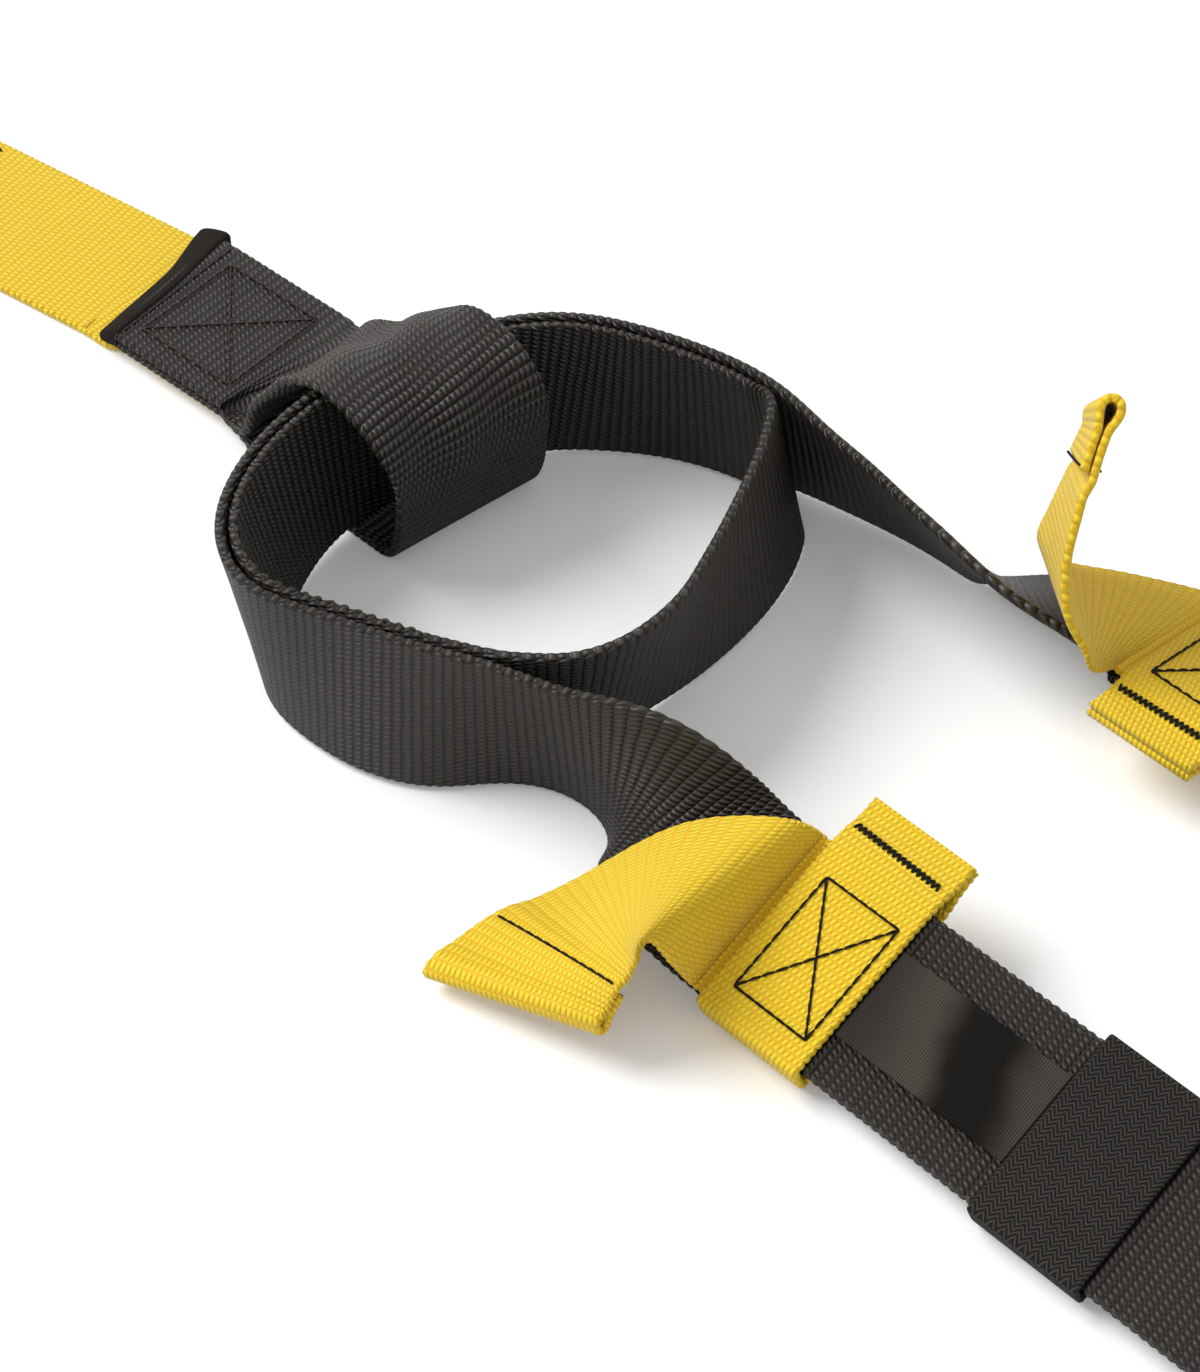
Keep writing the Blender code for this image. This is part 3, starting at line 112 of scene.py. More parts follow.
# Sewn shapes: length and place across of one corner, then of the other; the eye's are from
# the start of its seam
EYE_SEAM, EYE_BOX, EYE_TACKS = 0.204, (0.020, -0.014, 0.048, 0.014), (0.0, 0.054)
MIDDLE_TACK, TACK_REACH, ANCHOR_STITCH_LEVEL = 0.0560, 0.0165, 0.0011
SLING_BOX, SLING_ROW = (0.0065, -0.0135, 0.0330, 0.0135), (0.0035, -0.0175, 0.0035, 0.0175)
RING_EDGE = 0.0187
LEG_BOX, YOKE_TACK_REACH, YOKE_TACK_STEP = (0.0022, -0.0062, 0.0200, 0.0062), 0.0105, 0.005
# Camera fitted to the photograph, and where the soft light stands from its target
CAMERA_PLACE, CAMERA_TARGET = Vector((0.48425, -0.35268, 0.54339)), Vector((0.15435, -0.01461, 0))
CAMERA_LENS, SENSOR_WIDTH = 94.1, 36.0
KEY_AHEAD, KEY_LEFT, KEY_UP, KEY_SIZE = 0.35, 0.95, 1.1, math.radians(34)
FLOOR_GAP = 0.0002
# The satin's painted sheen: its light at places along the ribbon
SATIN_SHEEN_STOPS = ((0.0, 0.5), (0.34, 1.0), (0.52, 0.06), (0.72, 0.04), (0.95, 0.85))

# The loop's route, front run to rear run: shares of its length and width, of the webbing's
# width for height, and the roll of the webbing in degrees
ROUTE = np.array([
    (1.650, -0.352, 0.280, 21), (1.580, -0.352, 0.280, 21), (1.510, -0.350, 0.285, 22),
    (1.440, -0.350, 0.315, 29), (1.360, -0.345, 0.370, 42), (1.280, -0.336, 0.470, 64),
    (1.190, -0.335, 0.505, 83), (1.090, -0.345, 0.505, 96), (0.985, -0.368, 0.505, 99),
    (0.879, -0.409, 0.505, 94), (0.787, -0.466, 0.508, 86), (0.684, -0.509, 0.510, 83),
    (0.569, -0.537, 0.510, 84), (0.454, -0.556, 0.505, 89), (0.350, -0.564, 0.512, 95),
    (0.255, -0.540, 0.518, 99), (0.175, -0.492, 0.524, 101), (0.110, -0.425, 0.532, 100),
    (0.067, -0.350, 0.548, 98), (0.040, -0.270, 0.562, 95), (0.032, -0.190, 0.575, 93),
    (0.046, -0.100, 0.578, 92), (0.076, 0.000, 0.578, 91), (0.128, 0.105, 0.578, 90),
    (0.200, 0.210, 0.562, 88), (0.293, 0.288, 0.530, 86), (0.397, 0.340, 0.522, 83),
    (0.523, 0.384, 0.518, 80), (0.650, 0.408, 0.518, 79), (0.765, 0.420, 0.516, 76),
    (0.902, 0.426, 0.492, 69), (1.052, 0.436, 0.468, 64), (1.195, 0.434, 0.452, 60),
    (1.293, 0.430, 0.445, 58), (1.420, 0.452, 0.370, 43), (1.530, 0.510, 0.280, 28),
    (1.610, 0.555, 0.228, 18), (1.665, 0.574, 0.210, 14), (1.705, 0.579, 0.208, 13),
    (1.745, 0.579, 0.208, 13), (1.800, 0.579, 0.208, 13), (1.860, 0.579, 0.208, 13)])
CROSSING = np.array([
    (0.835, 0.342, 0.515, 78), (0.880, 0.285, 0.512, 79), (0.926, 0.200, 0.510, 82),
    (0.960, 0.108, 0.505, 87), (0.989, 0.000, 0.505, 94), (1.006, -0.103, 0.510, 101),
    (1.000, -0.207, 0.510, 103), (0.968, -0.290, 0.510, 101), (0.920, -0.345, 0.510, 97)])
# Where the ring leaves the loop's route, its gap to it, and the rows that a bridge reads on
RING_JOINS = np.array([(0.870, -0.415), (0.690, 0.414)])
RING_GAP, BRIDGE_ROWS = 0.0006, 12
# The sling's hump: front edge, then rear edge, as shares of its length, the webbing's width
# and its height
SLING_HUMP = np.array([
    (0.00, -0.55, 0.12, -0.10, 0.48, 0.12), (0.13, -0.59, 0.40, 0.02, 0.45, 0.27),
    (0.28, -0.63, 0.67, 0.23, 0.40, 0.45), (0.40, -0.67, 0.89, 0.44, 0.36, 0.72),
    (0.53, -0.70, 1.00, 0.63, 0.33, 0.96), (0.66, -0.71, 1.01, 0.80, 0.33, 1.05),
    (0.83, -0.70, 0.91, 0.98, 0.34, 1.01), (0.95, -0.67, 0.73, 1.09, 0.36, 0.84),
    (0.98, -0.64, 0.56, 1.10, 0.37, 0.66), (0.96, -0.62, 0.36, 1.07, 0.39, 0.38),
    (0.91, -0.59, 0.15, 1.01, 0.41, 0.15), (0.82, -0.55, 0.00, 0.90, 0.44, 0.00)])
# Each pull tab's two edges from the middle of its sleeve's mouth, shares of the width
FRONT_TAB = np.array([
    (-0.13, 0.35, 0.33, -0.08, -0.62, 0.16), (-0.28, 0.25, 0.33, -0.12, -0.73, 0.40),
    (-0.61, 0.00, 0.18, -0.12, -0.80, 0.42), (-0.92, -0.42, -0.14, -0.13, -0.82, 0.29),
    (-1.09, -0.87, -0.21, -0.14, -0.92, 0.10), (-1.11, -1.29, -0.23, -0.16, -1.01, -0.08)])
REAR_TAB = np.array([
    (-0.10, -0.63, 0.26, -0.47, 0.15, 0.02), (-0.13, -0.70, 0.42, -0.76, -0.06, 0.09),
    (-0.22, -0.75, 0.63, -0.89, -0.11, 0.24), (-0.32, -0.68, 0.88, -0.90, -0.02, 0.40),
    (-0.39, -0.53, 1.12, -0.91, 0.10, 0.55), (-0.46, -0.36, 1.35, -0.93, 0.23, 0.69),
    (-0.52, -0.16, 1.55, -0.95, 0.37, 0.82)])
# The box sewn on each sleeve: its ends along the strap and across it, from the tab's mouth
SLEEVE_BOX = {"front": (0.0046, 0.0222, 0.0121, -0.0145),
              "rear": (0.0036, 0.0215, 0.0160, -0.0100)}
# The tack on each sleeve's tail: from the top's middle along the sleeve's path, and across
SLEEVE_TACK, SLEEVE_TACK_WIDTH = (-0.0235, -0.0108, -0.0228, 0.0100), 0.0016
# Handle legs from grip to bar: shares of reach, half width and climb, and turn of the width
YOKE_LEG = np.array([(0.72, 0.92, 1.00, 0.05), (0.52, 0.62, 0.85, 0.35),
                     (0.34, 0.30, 0.45, 0.80), (0.20, 0.08, 0.08, 1.00),
                     (0.10, 0.00, 0.00, 1.00)])


def unit(v):
    """Each vector divided by its length."""
    return v / np.maximum(np.linalg.norm(v, axis=-1, keepdims=True), 1e-12)


def ease(t):
    """Smooth step: three t squared less two t cubed, held at 0 and 1 outside."""
    t = np.clip(t, 0, 1)
    return t * t * (3 - 2 * t)


def smooth_rows(rows):
    """Rows read along a Catmull-Rom curve: each span blends its four nearest rows with a
    cubic, and is cut into parts of about one fine step."""
    rows = np.asarray(rows, float)
    padded = np.vstack([rows[:1], rows, rows[-1:]])
    spans = np.linalg.norm(np.diff(rows[:, :3], axis=0), axis=1)
    parts = np.maximum(1, np.round(spans / FINE).astype(int))
    i = np.repeat(np.arange(len(spans)), parts)
    t = (np.arange(parts.sum()) - np.repeat(np.cumsum(parts) - parts, parts)) \
        / np.repeat(parts, parts)
    a, b, c, d = (padded[i + k] for k in range(4))
    t = t[:, None]
    out = 0.5 * (2 * b + (c - a) * t + (2 * a - 5 * b + 4 * c - d) * t ** 2
                 + (3 * b - a - 3 * c + d) * t ** 3)
    return np.vstack([out, rows[-1:]])


def even_rows(rows):
    """Rows read along straight lines, at even fine steps of the length of their points."""
    rows = np.asarray(rows, float)
    gone = np.concatenate([[0], np.cumsum(np.linalg.norm(np.diff(rows[:, :3], axis=0), axis=1))])
    places = np.linspace(0, gone[-1], max(2, int(round(gone[-1] / FINE)) + 1))
    return np.column_stack([np.interp(places, gone, column) for column in rows.T])


def eased_rows(rows, reach, closed=False):
    """Rows averaged with their neighbours within a reach, by the weights of a raised cosine;
    the ends keep their places."""
    half = int(round(reach / FINE))
    weights = np.hanning(2 * half + 3)[1:-1]
    weights = weights / weights.sum()
    if closed:
        padded = np.vstack([rows[-half:], rows, rows[:half]])
    else:
        padded = np.vstack([2 * rows[:1] - rows[half:0:-1], rows,
                            2 * rows[-1:] - rows[-2:-half - 2:-1]])
    return np.column_stack([np.convolve(column, weights, mode="valid") for column in padded.T])


def cut_corners(points, passes=3, share=0.25):
    """Corner cutting: each inner corner is replaced by two points a share along its sides."""
    points = np.asarray(points, float)
    for _ in range(passes):
        a, b = points[:-1], points[1:]
        pairs = np.stack([a + (b - a) * share, a + (b - a) * (1 - share)], axis=1)
        inner = pairs.reshape(-1, points.shape[1])
        points = np.vstack([points[:1], inner[1:-1], points[-1:]])
    return points


def arc(cx, cz, radius, start, end, parts):
    """Points of an arc in a plane: centre plus radius times cosine and sine."""
    angle = np.radians(np.linspace(start, end, parts + 1))
    return np.column_stack([cx + radius * np.cos(angle), cz + radius * np.sin(angle)])


def ease_down(x0, z0, x1, z1, parts=12):
    """Points of a smooth step between two heights."""
    t = np.linspace(0, 1, parts + 1)[1:]
    return np.column_stack([x0 + (x1 - x0) * t, z0 + (z1 - z0) * ease(t)])


class Lie:
    """How a strap lies: its middle line, width direction, face direction and length so far.
    The width direction is squared to the line, less and less towards ends left free."""

    def __init__(self, centre, across, closed=False, square=True, ends_free=False):
        self.centre = np.asarray(centre, float)
        self.closed = closed
        if closed:
            along = np.roll(self.centre, -1, axis=0) - np.roll(self.centre, 1, axis=0)
        else:
            along = np.gradient(self.centre, axis=0)
        self.along = unit(along)
        across = unit(np.asarray(across, float))
        if square:
            fitted = across - self.along * np.sum(across * self.along, axis=1, keepdims=True)
            if ends_free:
                keep = ease(np.minimum(np.arange(len(across)), np.arange(len(across))[::-1])
                            / FREE_ROWS)
                fitted = across + (fitted - across) * keep[:, None]
            across = unit(fitted)
        self.across = across
        self.face = unit(np.cross(self.along, across))
        steps = np.linalg.norm(np.diff(self.centre, axis=0), axis=1)
        self.gone = np.concatenate([[0], np.cumsum(steps)])
        self.length = self.gone[-1]
        if closed:
            self.length += np.linalg.norm(self.centre[0] - self.centre[-1])

    def read(self, values, s):
        """Rows of values read at lengths s along straight lines between them."""
        return np.stack([np.interp(s, self.gone, column) for column in values.T], axis=-1)

    def at(self, s, across, out):
        """Point at length s, distance across from the middle line and distance out of it."""
        s, across, out = np.broadcast_arrays(s, across, out)
        beyond = s - np.clip(s, 0, self.gone[-1])
        return (self.read(self.centre, s) + self.read(self.along, s) * beyond[..., None]
                + self.read(self.across, s) * across[..., None]
                + self.read(self.face, s) * out[..., None])

    def moved(self, out):
        """The same lie a distance out along its own face direction."""
        return Lie(self.centre + self.face * np.broadcast_to(out, len(self.gone))[:, None],
                   self.across, self.closed)

    def nearest(self, point):
        """Length so far at the row whose centre is nearest to the point."""
        gap = np.linalg.norm(self.centre - np.asarray(point), axis=1)
        return float(self.gone[np.argmin(gap)])


def placed(name, mesh, finish):
    """The mesh with its finish, as an object in the scene."""
    obj = bpy.data.objects.new(name, mesh)
    mesh.materials.append(finish)
    bpy.context.scene.collection.objects.link(obj)
    return obj


def built(name, points, loops, starts, totals, finish, loop_uv=None):
    """A smooth object from its points and its faces, each a start and a total in the loops."""
    mesh = bpy.data.meshes.new(name)
    mesh.vertices.add(points.size // 3)
    mesh.vertices.foreach_set("co", points.reshape(-1).astype(np.float32))
    mesh.loops.add(len(loops))
    mesh.loops.foreach_set("vertex_index", loops.astype(np.int32))
    mesh.polygons.add(len(starts))
    mesh.polygons.foreach_set("loop_start", starts.astype(np.int32))
    mesh.polygons.foreach_set("loop_total", totals.astype(np.int32))
    if loop_uv is not None:
        layer = mesh.uv_layers.new(name="lie")
        layer.data.foreach_set("uv", loop_uv.reshape(-1).astype(np.float32))
    mesh.update(calc_edges=True)
    mesh.validate()
    mesh.shade_smooth()
    return placed(name, mesh, finish)


def put_mesh(name, points, rows, columns, uv, closed_rows, closed_columns, finish):
    """A mesh from a grid of points: corner (i, j) joins (i + 1, j + 1), wrapped round where
    a direction is closed, with one flat face on each open end of a tube."""
    i = np.arange(rows if closed_rows else rows - 1)
    j = np.arange(columns if closed_columns else columns - 1)
    i, j = (a.ravel() for a in np.meshgrid(i, j, indexing="ij"))
    i2, j2 = i + 1, j + 1
    corners = np.stack([i * columns + j, (i2 % rows) * columns + j,
                        (i2 % rows) * columns + j2 % columns, i * columns + j2 % columns], 1)
    coords = np.stack([uv[i, j], uv[i2, j], uv[i2, j2], uv[i, j2]], 1)
    loops = corners.ravel()
    loop_uv = coords.reshape(-1, 2)
    starts = np.arange(0, len(loops), 4)
    totals = np.full(len(starts), 4)
    if not closed_rows and closed_columns:
        low = np.arange(columns)
        high = (rows - 1) * columns + np.arange(columns)[::-1]
        starts = np.concatenate([starts, [len(loops), len(loops) + columns]])
        totals = np.concatenate([totals, [columns, columns]])
        loops = np.concatenate([loops, low, high])
        loop_uv = np.vstack([loop_uv, uv[0, :columns], uv[rows - 1, :columns][::-1]])
    obj = built(name, points, loops, starts, totals, finish, loop_uv)
    if signed_volume(points, rows, columns, closed_rows, closed_columns) < 0:
        obj.data.flip_normals()
    return obj


def signed_volume(points, rows, columns, closed_rows, closed_columns):
    """Sum over the grid's quads of the volume under their two triangles, seen from inside."""
    p = points.reshape(rows, columns, 3) - points.reshape(-1, 3).mean(axis=0)
    if closed_rows:
        p = np.concatenate([p, p[:1]], axis=0)
    if closed_columns:
        p = np.concatenate([p, p[:, :1]], axis=1)
    a, b, c, d = p[:-1, :-1], p[1:, :-1], p[1:, 1:], p[:-1, 1:]
    return float(np.sum(a * np.cross(b, c)) + np.sum(a * np.cross(c, d)))


def rounded_section(width, thickness, corner, columns):
    """Places across and out of a flat profile: two flat faces joined by quarter rounds."""
    half, edge = width / 2 - corner, thickness / 2 - corner
    flat = np.linspace(-half, half, columns)
    quarter = np.radians([72, 45, 18])
    across = [flat, half + corner * np.cos(quarter), half + corner * np.cos(quarter[::-1])]
    out = [np.full(columns, thickness / 2), edge + corner * np.sin(quarter),
           -edge - corner * np.sin(quarter[::-1])]
    across += [-part for part in across]
    out += [-part for part in out]
    return np.concatenate(across), np.concatenate(out)


def webbing(name, lie, width, thickness, finish, rib, depth, scallop, columns=22, rise=None,
            share=None):
    """Woven strap: a flat profile with round selvedges carried along its lie. The faces sink
    between ribs by depth times one less the size of a cosine of the length, and the
    selvedges draw in by scallop in the same way. A rise, from length and place across, moves
    the profile out, and a share, from the length, narrows it."""
    corner = thickness / 2
    a, b = rounded_section(width, thickness, corner, columns)
    edge = np.abs(a) > width / 2 - corner + 1e-9
    s = lie.gone[:, None]
    sunk = 1 - np.abs(np.cos(np.pi * s / rib)) ** 0.8
    low = 1 - np.abs(np.sin(np.pi * s / rib)) ** 0.8
    out = b * (1 - np.where(edge, 0, depth * 2 / thickness) * np.where(b > 0, sunk, low))
    if rise is not None:
        out = out + rise(s, a[None, :])
    side = a - np.sign(a) * np.where(edge, scallop, 0) * sunk
    if share is not None:
        side = side * share(s)
    points = (lie.centre[:, None, :] + lie.across[:, None, :] * side[..., None]
              + lie.face[:, None, :] * out[..., None])
    lengths = np.append(lie.gone, lie.length)
    uv = np.stack(np.broadcast_arrays(np.append(a, a[0])[None, :] * UV_PER_METRE,
                                      lengths[:, None] * UV_PER_METRE), axis=-1)
    return put_mesh(name, points, len(lie.gone), len(a), uv, lie.closed, True, finish)


def turned(name, centre, y, radius, finish, parts=72, relief=None):
    """Turned surface about an axis along Y: a closed profile of places and radii swept round
    a full turn, the radius changed by a relief of turn and place where one is given."""
    y, radius = np.asarray(y, float), np.asarray(radius, float)
    turn = np.linspace(0, 2 * np.pi, parts, endpoint=False)[:, None]
    r = radius[None, :] + (relief(turn, y[None, :], radius[None, :]) if relief else 0 * turn)
    points = np.stack([centre[0] + r * np.cos(turn), np.broadcast_to(centre[1] + y, r.shape),
                       centre[2] + r * np.sin(turn)], axis=-1)
    uv = np.stack(np.broadcast_arrays(
        np.append(y, y[0])[None, :] * UV_PER_METRE,
        np.append(turn, 2 * np.pi)[:, None] * UV_PER_RADIAN), axis=-1)
    return put_mesh(name, points, parts, len(y), uv, True, True, finish)


def threads(name, lie, ends, level, finish, radius=THREAD_RADIUS):
    """Stitches as short round threads: each runs straight between its two ends on the lie,
    rises from the level by a half sine and thins to its ends."""
    ends = np.asarray(ends, float)
    t = np.linspace(0, 1, 5)
    s = ends[:, None, 0] + (ends[:, None, 2] - ends[:, None, 0]) * t
    u = ends[:, None, 1] + (ends[:, None, 3] - ends[:, None, 1]) * t
    rise = level + np.sign(level) * THREAD_BULGE * np.sin(np.pi * t)
    line = lie.at(s, u, np.broadcast_to(rise, s.shape))
    face = lie.read(lie.face, s)
    along = unit(np.gradient(line, axis=1))
    side = unit(np.cross(along, face))
    angle = np.arange(6) * np.pi / 3
    thin = radius * (0.75 + 0.25 * np.sin(np.pi * t))[None, :, None, None]
    ring = (side[:, :, None, :] * np.cos(angle)[None, None, :, None]
            + face[:, :, None, :] * np.sin(angle)[None, None, :, None])
    points = line[:, :, None, :] + ring * thin
    return tubes(name, points, finish)


def tubes(name, points, finish):
    """Many short tubes from an array of tube, section and ring point, each end capped."""
    many, sections, ring = points.shape[:3]
    j = np.arange(ring)
    quads = []
    for i in range(sections - 1):
        quads.append(np.stack([i * ring + j, i * ring + (j + 1) % ring,
                               (i + 1) * ring + (j + 1) % ring, (i + 1) * ring + j], 1))
    quads = np.concatenate(quads)
    base = (np.arange(many) * sections * ring)[:, None, None]
    quads = (quads[None] + base).reshape(-1, 4)
    low = (j[::-1][None] + base[:, 0]).reshape(-1, ring)
    high = ((sections - 1) * ring + j[None] + base[:, 0]).reshape(-1, ring)
    loops = np.concatenate([quads.ravel(), low.ravel(), high.ravel()])
    totals = np.concatenate([np.full(len(quads), 4), np.full(2 * many, ring)])
    starts = np.concatenate([[0], np.cumsum(totals)[:-1]])
    obj = built(name, points, loops, starts, totals, finish)
    one = points[0]
    middle = one.mean(axis=(0, 1))
    a, b, c = one[1, 0], one[1, 1], one[2, 1]
    if np.dot(np.cross(b - a, c - a), a - middle) < 0:
        obj.data.flip_normals()
    return obj


def stitch_line(s0, u0, s1, u1, pitch=None, gap=0.0001):
    """Ends of the stitches along a line: equal parts of about one pitch, a gap between."""
    pitch = pitch or bpy.context.scene.trainer_weave.stitch
    length = math.hypot(s1 - s0, u1 - u0)
    parts = max(1, round(length / pitch))
    a = np.arange(parts) / parts + gap / 2 / length
    b = (np.arange(parts) + 1) / parts - gap / 2 / length
    return np.column_stack([s0 + (s1 - s0) * a, u0 + (u1 - u0) * a,
                            s0 + (s1 - s0) * b, u0 + (u1 - u0) * b])


def box_cross(s0, u0, s1, u1):
    """Stitches of a box with a cross in it."""
    lines = [(s0, u0, s1, u0), (s1, u0, s1, u1), (s1, u1, s0, u1), (s0, u1, s0, u0),
             (s0, u0, s1, u1), (s0, u1, s1, u0)]
    return np.vstack([stitch_line(*line) for line in lines])


def bar_tack(s0, u0, s1, u1, width=0.0020):
    """Zigzag of close stitches: points at even places, alternately to each side."""
    length = math.hypot(s1 - s0, u1 - u0)
    count = max(4, round(length / TACK_PITCH))
    t = np.linspace(0, 1, count)
    away = np.where(np.arange(count) % 2, width / 2, -width / 2)
    ds, du = (s1 - s0) / length, (u1 - u0) / length
    s = s0 + (s1 - s0) * t - du * away
    u = u0 + (u1 - u0) * t + ds * away
    return np.column_stack([s[:-1], u[:-1], s[1:], u[1:]])


class Finish:
    """A material under construction: its node tree, its shader and short ways to add nodes."""

    def __init__(self, name, colour, roughness, metallic=0.0, **plain):
        colour = (*colour, 1)
        self.material = bpy.data.materials.new(name)
        self.material.use_nodes = True
        self.material.diffuse_color = colour
        self.tree = self.material.node_tree
        self.shader = self.tree.nodes["Principled BSDF"]
        self.shader.inputs["Base Color"].default_value = colour
        self.shader.inputs["Roughness"].default_value = roughness
        self.shader.inputs["Metallic"].default_value = metallic
        for socket, value in plain.items():
            self.shader.inputs[socket.replace("_", " ")].default_value = value

    def add(self, kind, **inputs):
        """A node of this material."""
        return add_node(self.tree, kind, **inputs)

    def group(self, tree, **inputs):
        """A node that holds a group."""
        node = self.tree.nodes.new("ShaderNodeGroup")
        node.node_tree = tree
        return fill(self.tree, node, inputs)

    def link(self, out, socket):
        """Feeds one of the shader's sockets."""
        self.tree.links.new(out, self.shader.inputs[socket])

    def place(self, kind="UV"):
        """Place on the strap, or on the object."""
        return self.add("ShaderNodeTexCoord").outputs[kind]

    def colour_between(self, mask, low, high):
        """From the low colour to the high one by the mask."""
        mix = self.add("ShaderNodeMix")
        mix.data_type = "RGBA"
        self.tree.links.new(mask, mix.inputs[0])
        mix.inputs[6].default_value = (*low, 1)
        mix.inputs[7].default_value = (*high, 1)
        return mix.outputs[2]

    def shaded(self, colour, shade):
        """A colour, plain or from a socket, multiplied by the shade."""
        mix = self.add("ShaderNodeMix")
        mix.data_type, mix.blend_type = "RGBA", "MULTIPLY"
        mix.inputs[0].default_value = 1.0
        give(self.tree, colour, mix.inputs[6])
        self.tree.links.new(shade, mix.inputs[7])
        return mix.outputs[2]

    def relief(self, height, distance, strength=1.0, under=None):
        """Bump from a height, over another one if given, as the shader's normal."""
        bump = self.add("ShaderNodeBump", Strength=strength, Distance=distance, Height=height)
        if under is not None:
            self.tree.links.new(under, bump.inputs["Normal"])
        self.link(bump.outputs[0], "Normal")


def give(tree, value, socket):
    """Feeds a socket: linked from another one, or set to a plain value."""
    if isinstance(value, bpy.types.NodeSocket):
        tree.links.new(value, socket)
    else:
        socket.default_value = value


def fill(tree, node, inputs):
    """The node with its sockets fed by name."""
    for socket, value in inputs.items():
        give(tree, value, node.inputs[socket])
    return node


def add_node(tree, kind, **inputs):
    """A new node with its sockets fed by name."""
    return fill(tree, tree.nodes.new(kind), inputs)


def number(tree, operation, *values):
    """What a maths node makes of one or two values."""
    node = tree.nodes.new("ShaderNodeMath")
    node.operation = operation
    for socket, value in zip(node.inputs, values):
        give(tree, value, socket)
    return node.outputs[0]


def new_group(name, inputs, outputs):
    """An empty node group with its sockets, and the sockets and node of its two ends."""
    tree = bpy.data.node_groups.new(name, "ShaderNodeTree")
    for label, kind, value in inputs:
        socket = tree.interface.new_socket(label, in_out="INPUT", socket_type=kind)
        if value is not None:
            socket.default_value = value
    for label, kind in outputs:
        tree.interface.new_socket(label, in_out="OUTPUT", socket_type=kind)
    return tree, tree.nodes.new("NodeGroupInput").outputs, tree.nodes.new("NodeGroupOutput")


FLOAT, VECTOR, COLOUR = "NodeSocketFloat", "NodeSocketVector", "NodeSocketColor"


def grain_group():
    """Woven grain: rows across the strap at the rib pitch, each cut into grains that start half a
    grain later in every other row and lean by a slant. Height is the product of two rounded
    cosines, 1 on a grain and 0 in the gaps. Mask is the height times Fill, held at 1: it sets
    where painted shade fills the gaps between grains."""
    tree, given, made = new_group(
        "woven_grain", [("Place", VECTOR, None), ("Rib", FLOAT, 0.19), ("Grain", FLOAT, 0.15),
                        ("Slant", FLOAT, 0.3), ("Fill", FLOAT, 1.2)],
        [("Height", FLOAT), ("Mask", FLOAT)])
    place = add_node(tree, "ShaderNodeSeparateXYZ", Vector=given["Place"]).outputs
    wander = add_node(tree, "ShaderNodeTexNoise", Vector=given["Place"], Scale=1.6).outputs[0]
    stray = number(tree, "MULTIPLY", number(tree, "SUBTRACT", wander, 0.5), 0.05)
    row = number(tree, "ADD", number(tree, "DIVIDE", number(tree, "ADD", place[1], stray),
                                     given["Rib"]), 0.5)
    in_row = number(tree, "SUBTRACT", number(tree, "FRACT", row), 0.5)
    odd = number(tree, "MODULO", number(tree, "FLOOR", row), 2.0)
    step = number(tree, "MULTIPLY", odd, 0.5)
    lean = number(tree, "MULTIPLY", in_row, given["Slant"])
    across = number(tree, "ADD", number(tree, "DIVIDE", place[0], given["Grain"]),
                    number(tree, "ADD", step, lean))
    in_grain = number(tree, "SUBTRACT", number(tree, "FRACT", across), 0.5)
    along = number(tree, "COSINE", number(tree, "MULTIPLY", in_row, math.pi))
    round_off = number(tree, "COSINE", number(tree, "MULTIPLY", in_grain, math.pi))
    height = number(tree, "MULTIPLY", number(tree, "POWER", along, 0.9),
                    number(tree, "POWER", round_off, 0.75))
    tree.links.new(height, made.inputs["Height"])
    tree.links.new(number(tree, "MINIMUM", number(tree, "MULTIPLY", height, given["Fill"]), 1.0),
                   made.inputs["Mask"])
    return tree


def fibre_group():
    """Yarn and wear: a fine noise for the fibres and a broad one for handling, put out as a
    light and dark shade and as a small height."""
    tree, given, made = new_group(
        "fibre_wear", [("Place", VECTOR, None), ("Fine", FLOAT, 900.0), ("Broad", FLOAT, 18.0),
                       ("Low", FLOAT, 0.75)], [("Shade", COLOUR), ("Height", FLOAT)])
    fine = add_node(tree, "ShaderNodeTexNoise", Vector=given["Place"], Scale=given["Fine"],
                    Detail=3.0).outputs[0]
    broad = add_node(tree, "ShaderNodeTexNoise", Vector=given["Place"], Scale=given["Broad"],
                     Detail=2.0).outputs[0]
    both = number(tree, "ADD", number(tree, "MULTIPLY", fine, 0.6),
                  number(tree, "MULTIPLY", broad, 0.6))
    spread = add_node(tree, "ShaderNodeMapRange", Value=both)
    fill(tree, spread, {"From Min": 0.35, "From Max": 0.85, "To Min": given["Low"],
                        "To Max": 1.0})
    tone = add_node(tree, "ShaderNodeCombineColor", Red=spread.outputs[0],
                    Green=spread.outputs[0], Blue=spread.outputs[0])
    tree.links.new(tone.outputs[0], made.inputs["Shade"])
    tree.links.new(fine, made.inputs["Height"])
    return tree


def ribs_group():
    """Narrow ribs across a band, bent into a zigzag: the size of a cosine of the length plus
    a zigzag of the place across."""
    tree, given, made = new_group(
        "fine_ribs", [("Place", VECTOR, None), ("Rib", FLOAT, 0.05), ("Zig", FLOAT, 0.25),
                      ("Lean", FLOAT, 0.0)], [("Height", FLOAT)])
    place = add_node(tree, "ShaderNodeSeparateXYZ", Vector=given["Place"]).outputs
    zig = number(tree, "PINGPONG", number(tree, "ADD", place[0], 50.0), given["Zig"])
    y = number(tree, "ADD", place[1], number(tree, "MULTIPLY", zig, given["Lean"]))
    turn = number(tree, "MULTIPLY", number(tree, "DIVIDE", y, given["Rib"]), math.pi)
    tree.links.new(number(tree, "ABSOLUTE", number(tree, "COSINE", turn)),
                   made.inputs["Height"])
    return tree


